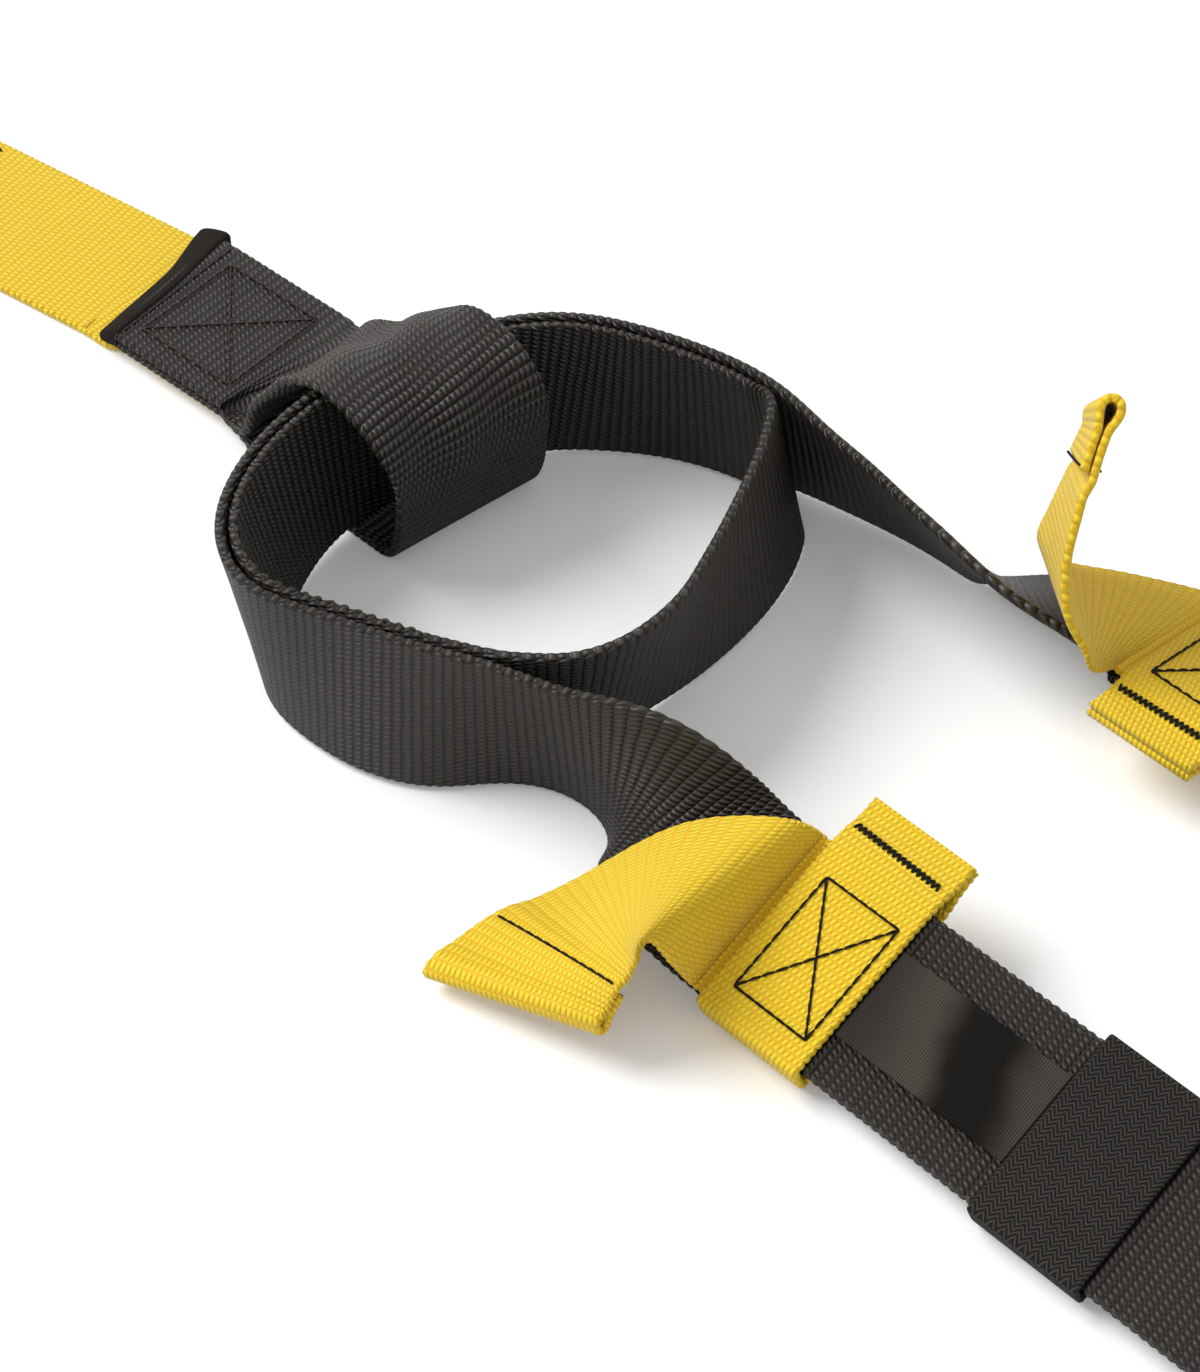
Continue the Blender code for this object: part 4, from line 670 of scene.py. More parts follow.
def brushed_group():
    """Handled metal: stretched fine noise for brushing and a broad one for smudges, put out
    as a roughness between two values and a small height."""
    tree, given, made = new_group(
        "handled_metal", [("Place", VECTOR, None), ("Low", FLOAT, 0.25), ("High", FLOAT, 0.45)],
        [("Roughness", FLOAT), ("Height", FLOAT)])
    stretched = add_node(tree, "ShaderNodeMapping", Vector=given["Place"],
                         Scale=(2400.0, 160.0, 2400.0)).outputs[0]
    fine = add_node(tree, "ShaderNodeTexNoise", Vector=stretched, Scale=1.0).outputs[0]
    broad = add_node(tree, "ShaderNodeTexNoise", Vector=given["Place"], Scale=70.0,
                     Detail=4.0).outputs[0]
    both = number(tree, "MULTIPLY", number(tree, "ADD", fine, broad), 0.5)
    spread = add_node(tree, "ShaderNodeMapRange", Value=both)
    fill(tree, spread, {"From Min": 0.3, "From Max": 0.7, "To Min": given["Low"],
                        "To Max": given["High"]})
    tree.links.new(spread.outputs[0], made.inputs["Roughness"])
    tree.links.new(fine, made.inputs["Height"])
    return tree


def woven(name, groups, low, high, rib, grain, slant, full, relief, roughness, dark, **plain):
    """Woven finish: painted shade in the gaps to grain colour by the grain mask, yarn shade over
    both.
    """
    look = Finish(name, high, roughness, **plain)
    grain_node = look.group(groups["grain"], Place=look.place(), Rib=rib, Grain=grain,
                            Slant=slant, Fill=full)
    yarn = look.group(groups["fibre"], Place=look.place("Object"), Low=dark)
    # Painted shade: low is the darker colour painted into the gaps between grains
    colour = look.colour_between(grain_node.outputs["Mask"], low, high)
    look.link(look.shaded(colour, yarn.outputs["Shade"]), "Base Color")
    fibres = look.add("ShaderNodeBump", Strength=0.25, Distance=0.0001,
                      Height=yarn.outputs["Height"])
    look.relief(grain_node.outputs["Height"], relief, 1.0, fibres.outputs[0])
    return look.material


def ribbed(name, groups, low, high, rib, zig, lean, relief, roughness, dark, **plain):
    """Ribbed finish: painted shade between ribs and a lighter colour on them, following their
    relief, with the yarn shade over both.
    """
    look = Finish(name, high, roughness, **plain)
    ribs = look.group(groups["ribs"], Place=look.place(), Rib=rib, Zig=zig, Lean=lean)
    yarn = look.group(groups["fibre"], Place=look.place("Object"), Low=dark)
    # Painted shade: the colour darkens into the grooves between ribs by their height
    colour = look.colour_between(ribs.outputs["Height"], low, high)
    look.link(look.shaded(colour, yarn.outputs["Shade"]), "Base Color")
    look.relief(ribs.outputs["Height"], relief)
    return look.material


def satin(name, groups, low, high, length):
    """Satin ribbon: fine cross ribs, and a painted sheen in its colour that falls from light to
    dark and back along the ribbon, its borders slanted and wavy, with painted shade between the
    ribs."""
    look = Finish(name, high, 0.5, Specular_IOR_Level=0.05)
    tree = look.tree
    ribs = look.group(groups["ribs"], Place=look.place(), Rib=0.055, Zig=0.3, Lean=0.0)
    place = look.add("ShaderNodeSeparateXYZ", Vector=look.place()).outputs
    wave = look.add("ShaderNodeTexNoise", Vector=look.place(), Scale=0.9, Detail=1.0)
    stray = number(tree, "MULTIPLY", number(tree, "SUBTRACT", wave.outputs[0], 0.5), 0.16)
    gone = number(tree, "ADD", number(tree, "DIVIDE", place[1], length * UV_PER_METRE),
                  number(tree, "MULTIPLY", place[0], 0.09))
    ramp = look.add("ShaderNodeValToRGB", Fac=number(tree, "ADD", gone, stray))
    ramp.color_ramp.interpolation = "EASE"
    stops = ramp.color_ramp.elements
    stops[0].position, stops[1].position = SATIN_SHEEN_STOPS[0][0], SATIN_SHEEN_STOPS[1][0]
    stops = [stops[0], stops[1], *(stops.new(at) for at, _ in SATIN_SHEEN_STOPS[2:])]
    for stop, (_, level) in zip(stops, SATIN_SHEEN_STOPS):
        stop.color = (level, level, level, 1)
    # Painted sheen along the ribbon times painted shade between the cross ribs
    light = number(tree, "MULTIPLY", ramp.outputs[0],
                   number(tree, "ADD", number(tree, "MULTIPLY", ribs.outputs["Height"], 0.35),
                          0.65))
    look.link(look.colour_between(light, low, high), "Base Color")
    look.relief(ribs.outputs["Height"], 0.00012)
    return look.material


def handled(name, groups, colour, metallic, low, high, **plain):
    """Metal or moulded finish: roughness and a slight height from the handled group."""
    look = Finish(name, colour, (low + high) / 2, metallic, **plain)
    marks = look.group(groups["metal"], Place=look.place("Object"), Low=low, High=high)
    yarn = look.group(groups["fibre"], Place=look.place("Object"), Fine=500.0, Low=0.82)
    look.link(look.shaded((*colour, 1), yarn.outputs["Shade"]), "Base Color")
    look.link(marks.outputs["Roughness"], "Roughness")
    look.relief(marks.outputs["Height"], 0.00003, 0.5)
    return look.material


def stippled(name, groups, colour, roughness, **plain):
    """Moulded rubber or foam: fine stipple height and a worn shade."""
    look = Finish(name, colour, roughness, **plain)
    yarn = look.group(groups["fibre"], Place=look.place("Object"), Fine=1400.0, Broad=30.0,
                      Low=0.7)
    look.link(look.shaded((*colour, 1), yarn.outputs["Shade"]), "Base Color")
    look.relief(yarn.outputs["Height"], 0.0002, 0.8)
    return look.material


def all_finishes(colours, weave):
    """Every finish by its short name; ribs and grains are in texture units."""
    groups = {"grain": grain_group(), "fibre": fibre_group(), "ribs": ribs_group(),
              "metal": brushed_group()}
    yellow, black = tuple(colours.yellow), tuple(colours.black)
    # Gap colours: painted shade in the gaps between the woven grains
    yellow_gap_shade = (yellow[0] * 0.92, yellow[1] * 0.74, yellow[2] * 0.4)
    black_gap_shade = tuple(c * 0.04 for c in black)
    rib = weave.rib * UV_PER_METRE
    return {
        "yellow": woven("yellow_weave", groups, yellow_gap_shade, yellow, rib=rib * YELLOW_RIB,
                        grain=0.115, slant=0.3, full=1.7, relief=0.0003, roughness=0.6,
                        dark=0.95, Specular_IOR_Level=0.45, Sheen_Weight=0.2,
                        Sheen_Roughness=0.4),
        "black": woven("black_weave", groups, black_gap_shade, black, rib=rib, grain=0.125,
                       slant=0.5, full=1.15, relief=0.0006, roughness=0.42, dark=0.75,
                       Specular_IOR_Level=0.45),
        # The first colour of each ribbed finish is the painted shade between its ribs
        "binding": ribbed("binding_tape", groups, (0.009, 0.0075, 0.006),
                          (0.020, 0.0165, 0.013), rib=0.05, zig=0.3, lean=0.0,
                          relief=0.00012, roughness=0.85, dark=0.7, Specular_IOR_Level=0.12),
        "satin": satin("satin_grosgrain", groups, (0.005, 0.0042, 0.0034),
                       (0.078, 0.066, 0.055), RIBBON_LENGTH),
        "elastic": ribbed("herringbone_elastic", groups, (0.004, 0.004, 0.0035),
                          (0.058, 0.051, 0.043), rib=0.105, zig=0.12, lean=1.1,
                          relief=0.0006, roughness=0.8, dark=0.6, Specular_IOR_Level=0.25),
        "dark_thread": ribbed("dark_thread", groups, (0.014, 0.012, 0.010),
                              (0.040, 0.034, 0.028), rib=0.04, zig=0.1, lean=1.0,
                              relief=0.00005, roughness=0.6, dark=0.7,
                              Specular_IOR_Level=0.25),
        "thread": ribbed("black_thread", groups, (0.004, 0.0035, 0.003), (0.010, 0.009, 0.008),
                         rib=0.04, zig=0.1, lean=1.0, relief=0.00005, roughness=0.75,
                         dark=0.7, Specular_IOR_Level=0.15),
        "steel": handled("bright_steel_finish", groups, (0.62, 0.62, 0.61), metallic=1.0,
                         low=0.18, high=0.34),
        "dark_steel": handled("black_coated_steel", groups, (0.035, 0.035, 0.037),
                              metallic=0.6, low=0.3, high=0.5, Coat_Weight=0.15),
        "plastic": handled("moulded_tube", groups, (0.045, 0.045, 0.047), metallic=0.0,
                           low=0.42, high=0.6),
        "rubber": stippled("grip_rubber", groups, (0.033, 0.033, 0.034), roughness=0.68),
        "foam": stippled("pad_foam", groups, (0.03, 0.03, 0.031), roughness=0.8),
    }


finishes = {}


def ready():
    """The finishes, made from the scene's colours when first asked for."""
    if not finishes:
        scene = bpy.context.scene
        finishes.update(all_finishes(scene.trainer_colours, scene.trainer_weave))
    return finishes


def route_points(shares):
    """Shares of the loop's size, and a roll, as places in metres and a roll in radians."""
    scale = np.array([LOOP_LENGTH, LOOP_WIDTH, WEBBING_WIDTH])
    return np.column_stack([shares[:, :3] * scale + (LOOP_REACH, 0, 0), np.radians(shares[:, 3])])


def rolled(rows):
    """Middle line and width direction of a strap: the width is the level direction square to
    the path times the cosine of the roll plus upright times its sine."""
    along = np.gradient(rows[:, :3], axis=0)
    level = unit(np.cross(along, (0, 0, 1)))
    across = level * np.cos(rows[:, 3:4]) + np.array([0, 0, 1.0]) * np.sin(rows[:, 3:4])
    return rows[:, :3], across


class Side:
    """One of the two straps: where it starts, how it lies and where its buckle is."""

    def __init__(self, name, seam_share, tilt, inward, y_share, z_share):
        self.name, self.inward = name, inward
        self.seam = LOOP_REACH + seam_share * LOOP_LENGTH
        self.tilt = math.radians(tilt)
        self.y, self.z = y_share * LOOP_WIDTH, z_share * WEBBING_WIDTH
        self.tab_x = self.seam - SLEEVE_LENGTH * SLEEVE_SETBACK
        self.sleeve_x = self.tab_x + SLEEVE_LENGTH / 2
        self.elastic_x = self.tab_x + SLEEVE_LENGTH + RIBBON_LENGTH
        self.curve_x = self.elastic_x + ELASTIC_LENGTH + TRAVEL
        self.curve_end = self.curve_x + CURVE_LENGTH
        self.buckle_x = self.curve_end + BUCKLE_FRONT
        self.handle_y = self.y - inward * HANDLE_SPREAD
        self.turn = np.array([self.buckle_x + TURN_BAR_BACK, self.handle_y, BAR_LEVEL])
        self.yoke = np.array([self.buckle_x + YOKE_BAR_BACK, self.handle_y, BAR_LEVEL])
        self.grip = np.array([self.yoke[0] + YOKE_LENGTH, self.handle_y, GRIP_RADIUS])

    def frame(self, x):
        """Strap centre, width direction and upward direction at x: tilt, place across and
        height ease to the buckle's along the curve."""
        x = np.asarray(x, float)
        t = ease((x - self.curve_x) / CURVE_LENGTH)
        tilt = self.tilt * (1 - t)
        y = self.y + (self.handle_y - self.y) * t
        z = self.z + (MAIN_LEVEL - self.z) * t
        zero = np.zeros_like(x)
        across = np.stack([zero, self.inward * np.cos(tilt), np.sin(tilt)], axis=-1)
        up = np.stack([zero, -self.inward * np.sin(tilt), np.cos(tilt)], axis=-1)
        return np.stack([x, y, z], axis=-1), across, up

    def at(self, x, across, level):
        """Point at x, a distance across the strap and at a level of the layers."""
        centre, u, n = self.frame(x)
        return (centre + u * np.asarray(across)[..., None]
                + n * (np.asarray(level)[..., None] - MAIN_LEVEL))

    def run(self, x0, x1, level):
        """Lie of a layer from x0 to x1; its level, plain or from x, counts out of the face."""
        xs = np.linspace(x0, x1, int(round((x1 - x0) / FINE)) + 1)
        centre, across, _ = self.frame(xs)
        level = level(xs) if callable(level) else level
        return Lie(centre, across).moved(self.inward * (level - MAIN_LEVEL))

    def tail_level(self, x):
        """The tail's level: a half sine of slack along the curve, and a climb at its end to
        the level over the buckle's plate."""
        climb = ease((x - self.curve_end + TAIL_CLIMB) / TAIL_CLIMB)
        loose = TAIL_LOOSE * np.sin(np.pi * np.clip((x - self.curve_x) / CURVE_LENGTH, 0, 1))
        return TAIL_LEVEL + loose + (OVER_PLATE - TAIL_LEVEL) * climb


SIDES = (Side("front", seam_share=1.762, tilt=21, inward=1, y_share=-0.352, z_share=0.280),
         Side("rear", seam_share=1.885, tilt=13, inward=-1, y_share=0.579, z_share=0.208))
ANCHOR_ACROSS = np.array([-math.sin(ANCHOR_HEADING), math.cos(ANCHOR_HEADING), 0])
SLING_ACROSS = np.array([-math.sin(SLING_HEADING), math.cos(SLING_HEADING), 0])


def towards_anchor(along, z):
    """Places on the anchor strap at distances towards the carabiner."""
    along, z = np.broadcast_arrays(np.asarray(along, float), np.asarray(z, float))
    return np.stack([-along * math.cos(ANCHOR_HEADING),
                     ANCHOR_Y - along * math.sin(ANCHOR_HEADING), z], axis=-1)


def towards_loop(along, z):
    """Places on the sling's flat part at distances towards the loop."""
    along, z = np.broadcast_arrays(np.asarray(along, float), np.asarray(z, float))
    return np.stack([along * math.cos(SLING_HEADING),
                     ANCHOR_Y + along * math.sin(SLING_HEADING), z], axis=-1)


def dress(obj, body, slot, *nodes, bends=None):
    """A finished piece rides on its body, or where it spans two is left in place with its
    transform baked in, and stands for its solids.
    """
    if bends:
        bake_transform(obj)
    else:
        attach(obj, body)
    if nodes:
        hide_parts(*nodes)


def anchor_lie():
    """The anchor strap's path: from its lap under the sling straight to the eye round the
    carabiner's rod, and back onto itself. It turns from the sling's heading to its own."""
    mid = ANCHOR_THICKNESS / 2
    eye = CARABINER_ROD / 2 + CLEARANCE + mid
    upper = mid + ANCHOR_THICKNESS + CLEARANCE
    start = [[-ANCHOR_LAP, mid], [0.0, mid], [ANCHOR_LENGTH / 2, mid]]
    loop = arc(ANCHOR_LENGTH, mid + eye, eye, -90, 90, 24)
    down = ease_down(*loop[-1], ANCHOR_LENGTH - ANCHOR_EYE_REACH, upper, 24)
    path = np.vstack([start, loop, down, [[ANCHOR_LENGTH - ANCHOR_BACK_REACH, upper]]])
    rows = even_rows(np.column_stack([path[:, 0], np.zeros(len(path)), path[:, 1]]))
    lap = rows[:, 0] < 0
    centre = np.where(lap[:, None], towards_loop(-rows[:, 0], rows[:, 2]),
                      towards_anchor(rows[:, 0], rows[:, 2]))
    mix = ease((rows[:, 0] + LAP_TURN / 2) / LAP_TURN)[:, None]
    mix[len(rows) // 2:] = 1
    return Lie(centre, SLING_ACROSS * (1 - mix) + ANCHOR_ACROSS * mix)


def narrowed(s):
    """Share of the anchor strap's width: a tenth less under the sling's seam."""
    return 1 - 0.1 * ease((0.037 - s) / 0.006)


def sling_lie():
    """The sling's path: from its sewn start over the hump that holds the loop, along the
    floor and back under itself between the anchor strap and its own upper layer."""
    low = ANCHOR_THICKNESS + CLEARANCE + WEBBING_THICKNESS / 2
    high, floor, base = low + LAYER, WEBBING_THICKNESS / 2, LOOP_REACH - SLING_SETBACK
    lap = ANCHOR_LAP + SLING_START / 2
    scale = np.array([SLING_HUMP_LENGTH, WEBBING_WIDTH, SLING_HUMP_HEIGHT])
    near, far = (SLING_HUMP[:, k:k + 3] * scale + (base, 0, floor) for k in (0, 3))
    hump = np.column_stack([(near + far) / 2, unit(far - near)])
    y = hump[-1, 1]
    tail = [[hump[-1, 0] - SLING_DROP, y, floor, *SLING_ACROSS],
            [lap + SLING_DROP, y, floor + CLEARANCE, *SLING_ACROSS]]
    first = np.concatenate([towards_loop(lap, high), SLING_ACROSS])
    fine = smooth_rows(np.vstack([first, hump, tail]))
    fine[:, 2] = np.maximum(fine[:, 2], floor)
    start = np.concatenate([towards_loop(SLING_START, high), ANCHOR_ACROSS])
    back = np.concatenate([towards_loop(lap, low), SLING_ACROSS])
    end = np.concatenate([towards_loop(SLING_START, low), ANCHOR_ACROSS])
    rows = eased_rows(even_rows(np.vstack([start, fine, back, end])), 0.006)
    return Lie(rows[:, :3], rows[:, 3:], ends_free=True)


def pucker(lie, s, a):
    """Shallow waves of the sling where it humps: a sine across whose phase drifts with the
    length, as high as the strap's rise off its flat part."""
    rise = ease((np.interp(s, lie.gone, lie.centre[:, 2]) - 0.012) / 0.020)
    wave = np.sin(2 * np.pi * (a / PUCKER_ACROSS + s / PUCKER_ALONG))
    return PUCKER_HEIGHT * rise * wave * np.cos(a * 40)


def loop_lie():
    """The loop's path along its route, led straight to where the two legs' straps begin."""
    rows = np.column_stack(rolled(smooth_rows(route_points(ROUTE))))
    start, end = (np.concatenate(side.frame(side.seam)[:2]) for side in SIDES)
    lead, leave = even_rows(np.vstack([start, rows[0]])), even_rows(np.vstack([rows[-1], end]))
    rows = np.vstack([lead[:-1], rows, leave[1:]])
    lie = Lie(rows[:, :3], rows[:, 3:], ends_free=True)
    rows = eased_rows(even_rows(np.column_stack([lie.centre, lie.across])), 0.011)
    return Lie(rows[:, :3], rows[:, 3:], square=False)


def ring_lie(loop):
    """The loop's middle stretch moved inward by a layer, closed by the crossing."""
    moved = loop.moved(WEBBING_THICKNESS + RING_GAP)
    outer = np.column_stack([moved.centre, moved.across])
    inner = np.column_stack(rolled(smooth_rows(route_points(CROSSING))))
    places = RING_JOINS * (LOOP_LENGTH, LOOP_WIDTH) + (LOOP_REACH, 0)
    first, last = (int(np.argmin(np.linalg.norm(loop.centre[:, :2] - place, axis=1)))
                   for place in places)
    k = BRIDGE_ROWS
    to_inner = bridge(outer[last - k], outer[last], inner[0], inner[k])
    to_outer = bridge(inner[-1 - k], inner[-1], outer[first], outer[first + k])
    rows = np.vstack([outer[first:last], to_inner, inner[:-1], to_outer[:-1]])
    rows = eased_rows(rows, 0.004, closed=True)
    return Lie(rows[:, :3], rows[:, 3:], closed=True)


def bridge(a, b, c, d):
    """Rows from b to c along a cubic that leaves along the line from a to b and arrives along
    the line from c to d, each lead as long as the gap."""
    reach = np.linalg.norm(c[:3] - b[:3])
    parts = max(2, int(round(reach / FINE)))
    lead, leave = b - a, d - c
    lead = lead / np.linalg.norm(lead[:3]) * reach
    leave = leave / np.linalg.norm(leave[:3]) * reach
    t = np.linspace(0, 1, parts + 1)[:-1, None]
    return ((2 * t ** 3 - 3 * t ** 2 + 1) * b + (t ** 3 - 2 * t ** 2 + t) * lead
            + (3 * t ** 2 - 2 * t ** 3) * c + (t ** 3 - t ** 2) * leave)


def sleeve_lie(side):
    """The sleeve's path round the two straps: from its sewn tail over the top, round the far
    edge and back below to the tail."""
    top, low = STACK_TOP + TAB_THICKNESS / 2, TAB_THICKNESS / 2
    edge = HALF_WEBBING + CLEARANCE + TAB_THICKNESS / 2
    tail = HALF_WEBBING + SLEEVE_TAIL
    join_top = (top + low) / 2 + (TAB_THICKNESS + CLEARANCE) / 2
    join_low = join_top - TAB_THICKNESS - CLEARANCE
    corner, gap = TAB_THICKNESS / 4, SLEEVE_TAIL / 2
    path = [(tail, join_top), (edge + gap, join_top), (edge, top), (0, top),
            (-edge + corner, top), (-edge, top - corner), (-edge, low + corner),
            (-edge + corner, low), (0, low), (edge, low), (edge + gap, join_low),
            (tail, join_low)]
    path = cut_corners(path)
    rows = even_rows(side.at(np.full(len(path), side.sleeve_x), path[:, 0], path[:, 1]))
    return Lie(rows, np.tile([1.0, 0, 0], (len(rows), 1)))


def tab_lie(side, shares):
    """The tab from inside the sleeve to its end, by its two edges."""
    mouth = side.at(side.tab_x, 0, TAIL_LEVEL)
    across = side.frame(side.tab_x)[1]
    rows = [[*side.at(side.tab_x - TAB_STEP, 0, TAIL_LEVEL + TAB_LIFT), *across]]
    near, far = (mouth + shares[:, k:k + 3] * WEBBING_WIDTH for k in (0, 3))
    rows = np.vstack([rows, np.column_stack([(near + far) / 2, unit(near - far)])])
    fine = smooth_rows(rows)
    inside = side.at(side.sleeve_x, 0, TAIL_LEVEL)
    lead = even_rows(np.vstack([[*inside, *across], [*mouth, *across], fine[0]]))[:-1]
    rows = np.vstack([lead, fine])
    return Lie(rows[:, :3], rows[:, 3:], square=False)


def hemmed(lie, top):
    """A lie whose end is rolled under: it rises by half a layer, goes round a small eye and
    comes back by the hem's length on the other side."""
    end, half, eye = lie.gone[-1], TAB_THICKNESS / 2 + 0.0001, HEM_EYE
    t = np.linspace(0, 1, 12)
    rise = np.column_stack([end - HEM_START + 0.004 * t, half * ease(t)])
    swell = np.column_stack([end - HEM_SWELL + (HEM_SWELL - eye) * t,
                             half + (eye - half) * ease(t)])
    turn = arc(end - eye, 0, eye, 85, -85, 16)
    path = np.vstack([[(0, 0)], rise, swell, turn, swell[::-1] * (1, -1),
                      [(end - HEM_BACK, -half)]])
    path = even_rows(np.column_stack([path[:, 0], path[:, 1] * top, np.zeros(len(path))]))
    centre = lie.at(path[:, 0], 0, path[:, 1])
    return Lie(centre, lie.read(lie.across, path[:, 0]), square=False)


def yoke_lie(side):
    """The handle's webbing as one closed path: down the upper leg from the grip's end, round
    the buckle's bar, up the lower leg and through the grip's tube."""
    bar, grip = side.yoke, side.grip
    half = (GRIP_LENGTH / 2 + CRADLE_WEBBING + CLEARANCE * 3 + WASHER_THICKNESS
            + WEBBING_THICKNESS)
    wrap = YOKE_BAR_RADIUS + CLEARANCE + WEBBING_THICKNESS / 2
    bend, reach = YOKE_WEBBING / 2, grip[0] - bar[0]
    rows = {}
    for name, sign in (("upper", 1), ("lower", -1)):
        z0 = bar[2] + sign * wrap
        x = bar[0] + reach * YOKE_LEG[:, 0]
        y = sign * half * YOKE_LEG[:, 1]
        z = z0 + (grip[2] - z0) * YOKE_LEG[:, 2]
        turn = YOKE_LEG[:, 3:4]
        w = unit((1 - turn) * np.array([0, 0, 1.0]) + turn * np.array([0, 1.0, 0]))
        leg = np.column_stack([x, side.handle_y + y, z, w])
        corner = [(grip[0], sign * half), (grip[0] - bend / 3, sign * (half + bend / 2)),
                  (grip[0] - bend, sign * (half + bend / 2))]
        start = [[cx, side.handle_y + cy, grip[2], 0, 0, 1] for cx, cy in corner]
        rows[name] = np.vstack([start, leg])
    circle = arc(bar[0], bar[2], wrap, 90, 270, 24)
    count = len(circle)
    round_bar = np.column_stack([circle[:, 0], np.full(count, side.handle_y), circle[:, 1],
                                 np.tile([0, 1.0, 0], (count, 1))])
    upper, lower = smooth_rows(rows["upper"]), smooth_rows(rows["lower"][::-1])
    through = even_rows(np.vstack([lower[-1], upper[0]]))[1:-1]
    path = even_rows(np.vstack([upper, round_bar, lower, through]))
    return Lie(path[:-1, :3], path[:-1, 3:], closed=True)


def leg_lie(side, sign):
    """A cradle leg's path: from its sewn end up round the grip's tube and back below to the
    cross band."""
    grip = side.grip
    radius = TUBE_RADIUS + CLEARANCE + WEBBING_THICKNESS / 2
    low = WEBBING_THICKNESS / 2
    upper, back = low + LAYER, grip[0] + radius * 2
    y = side.handle_y + sign * (GRIP_LENGTH / 2 + CLEARANCE + CRADLE_WEBBING / 2)
    loop = arc(grip[0], grip[2], radius, 60, 270, 60)
    climb = ease_down(back, upper, loop[0, 0], loop[0, 1], 16)
    settle = ease_down(loop[-1, 0], loop[-1, 1], back, low, 8)
    path = np.vstack([[(back + 0.022, upper), (back, upper)], climb[:-1], loop, settle,
                      [(grip[0] + CRADLE_REACH, low)]])
    rows = even_rows(np.column_stack([path[:, 0], np.full(len(path), y), path[:, 1]]))
    return Lie(rows, np.tile([0, 1.0, 0], (len(rows), 1)))


def top_level(lie, s):
    """Half a webbing out of the face that looks up at length s."""
    return math.copysign(WEBBING_THICKNESS / 2, lie.read(lie.face, s)[2])


def elastic_lie(side):
    """The keeper's closed path round the two straps, from the middle of its underside."""
    top = STACK_TOP + ELASTIC_THICKNESS / 2
    low = SLEEVE_FLOOR - CLEARANCE - ELASTIC_THICKNESS / 2
    edge, corner = HALF_WEBBING + CLEARANCE + ELASTIC_THICKNESS / 2, ELASTIC_THICKNESS / 4
    half = [(edge - corner, low), (edge, low + corner), (edge, top - corner),
            (edge - corner, top)]
    path = [(0, low), *half, (0, top), *((-u, n) for u, n in half[::-1]), (0, low)]
    path = cut_corners(path)
    places = side.at(np.full(len(path), side.elastic_x + ELASTIC_LENGTH / 2), path[:, 0],
                     path[:, 1])
    rows = even_rows(places)[:-1]
    return Lie(rows, np.tile([1.0, 0, 0], (len(rows), 1)), closed=True)


def turn_lie(side):
    """The strap's turn round the buckle's bar, and back over its plate to the tail."""
    bar, radius = side.turn, side.turn[2] - MAIN_LEVEL
    path = np.vstack([arc(bar[0], bar[2], radius, -90, 90, 24),
                      ease_down(bar[0], bar[2] + radius, side.buckle_x, OVER_PLATE),
                      [(side.curve_end, OVER_PLATE)]])
    rows = even_rows(np.column_stack([path[:, 0], np.full(len(path), bar[1]), path[:, 1]]))
    return Lie(rows, np.tile([0, side.inward, 0.0], (len(rows), 1)))


def band_lie(side, middle, level):
    """The cradle's cross band: straight from leg to leg."""
    reach = GRIP_LENGTH / 2 + CLEARANCE + CRADLE_WEBBING
    y = np.linspace(-reach, reach, int(round(2 * reach / FINE)))
    rows = np.column_stack([np.full(len(y), middle), side.handle_y + y,
                            np.full(len(y), level)])
    return Lie(rows, np.tile([1.0, 0, 0], (len(y), 1)))


def tube_profile():
    """Half section of the handle's tube, its rims a little rounded."""
    half, out, bore = TUBE_HALF, TUBE_RADIUS, TUBE_BORE
    return np.array([(-half, out - 0.0006), (-half + 0.0008, out), (half - 0.0008, out),
                     (half, out - 0.0006), (half, bore + 0.0004), (half - 0.0004, bore),
                     (-half + 0.0004, bore), (-half, bore + 0.0004)]).T


def washer_profile():
    """Half section of a washer with a rounded rim."""
    t, b, r = WASHER_THICKNESS / 2, WASHER_ROUND, WASHER_RADIUS
    return np.array([(-t, TUBE_BORE + b), (-t, r - b), (-t * 0.8, r - b * 0.3), (0, r),
                     (t * 0.8, r - b * 0.3), (t, r - b), (t, TUBE_BORE + b),
                     (t - b / 2, TUBE_BORE), (-t + b / 2, TUBE_BORE)]).T


def grip_profile():
    """Half section of the rubber grip: a long swell with flared ends and its bore."""
    half = GRIP_LENGTH / 2
    y = np.linspace(-half, half, 200)
    shape = smooth_rows([(-half, GRIP_RADIUS, 0), (-half + GRIP_FLARE, GRIP_WAIST, 0),
                         (0, GRIP_SWELL, 0), (half - GRIP_FLARE, GRIP_WAIST, 0),
                         (half, GRIP_RADIUS, 0)])
    r = np.interp(y, shape[:, 0], shape[:, 1])
    r = r - GRIP_EDGE * np.clip(1 - (half - np.abs(y)) / GRIP_EDGE, 0, 1)
    return np.concatenate([y, [half, -half]]), np.concatenate([r, [GRIP_BORE, GRIP_BORE]])


def knurl(turn, y, radius):
    """Moulded diamonds: the product of two slanted waves, only outside and off the ends."""
    shown = (radius > 0.016) * np.clip((0.040 - np.abs(y)) / 0.002, 0, 1)
    slant = y * 2 * np.pi / KNURL_PITCH
    wave = np.cos(KNURL_TURNS * turn + slant) * np.cos(KNURL_TURNS * turn - slant)
    return shown * KNURL_DEPTH * (np.clip(wave, -0.4, 0.6) - 0.6)


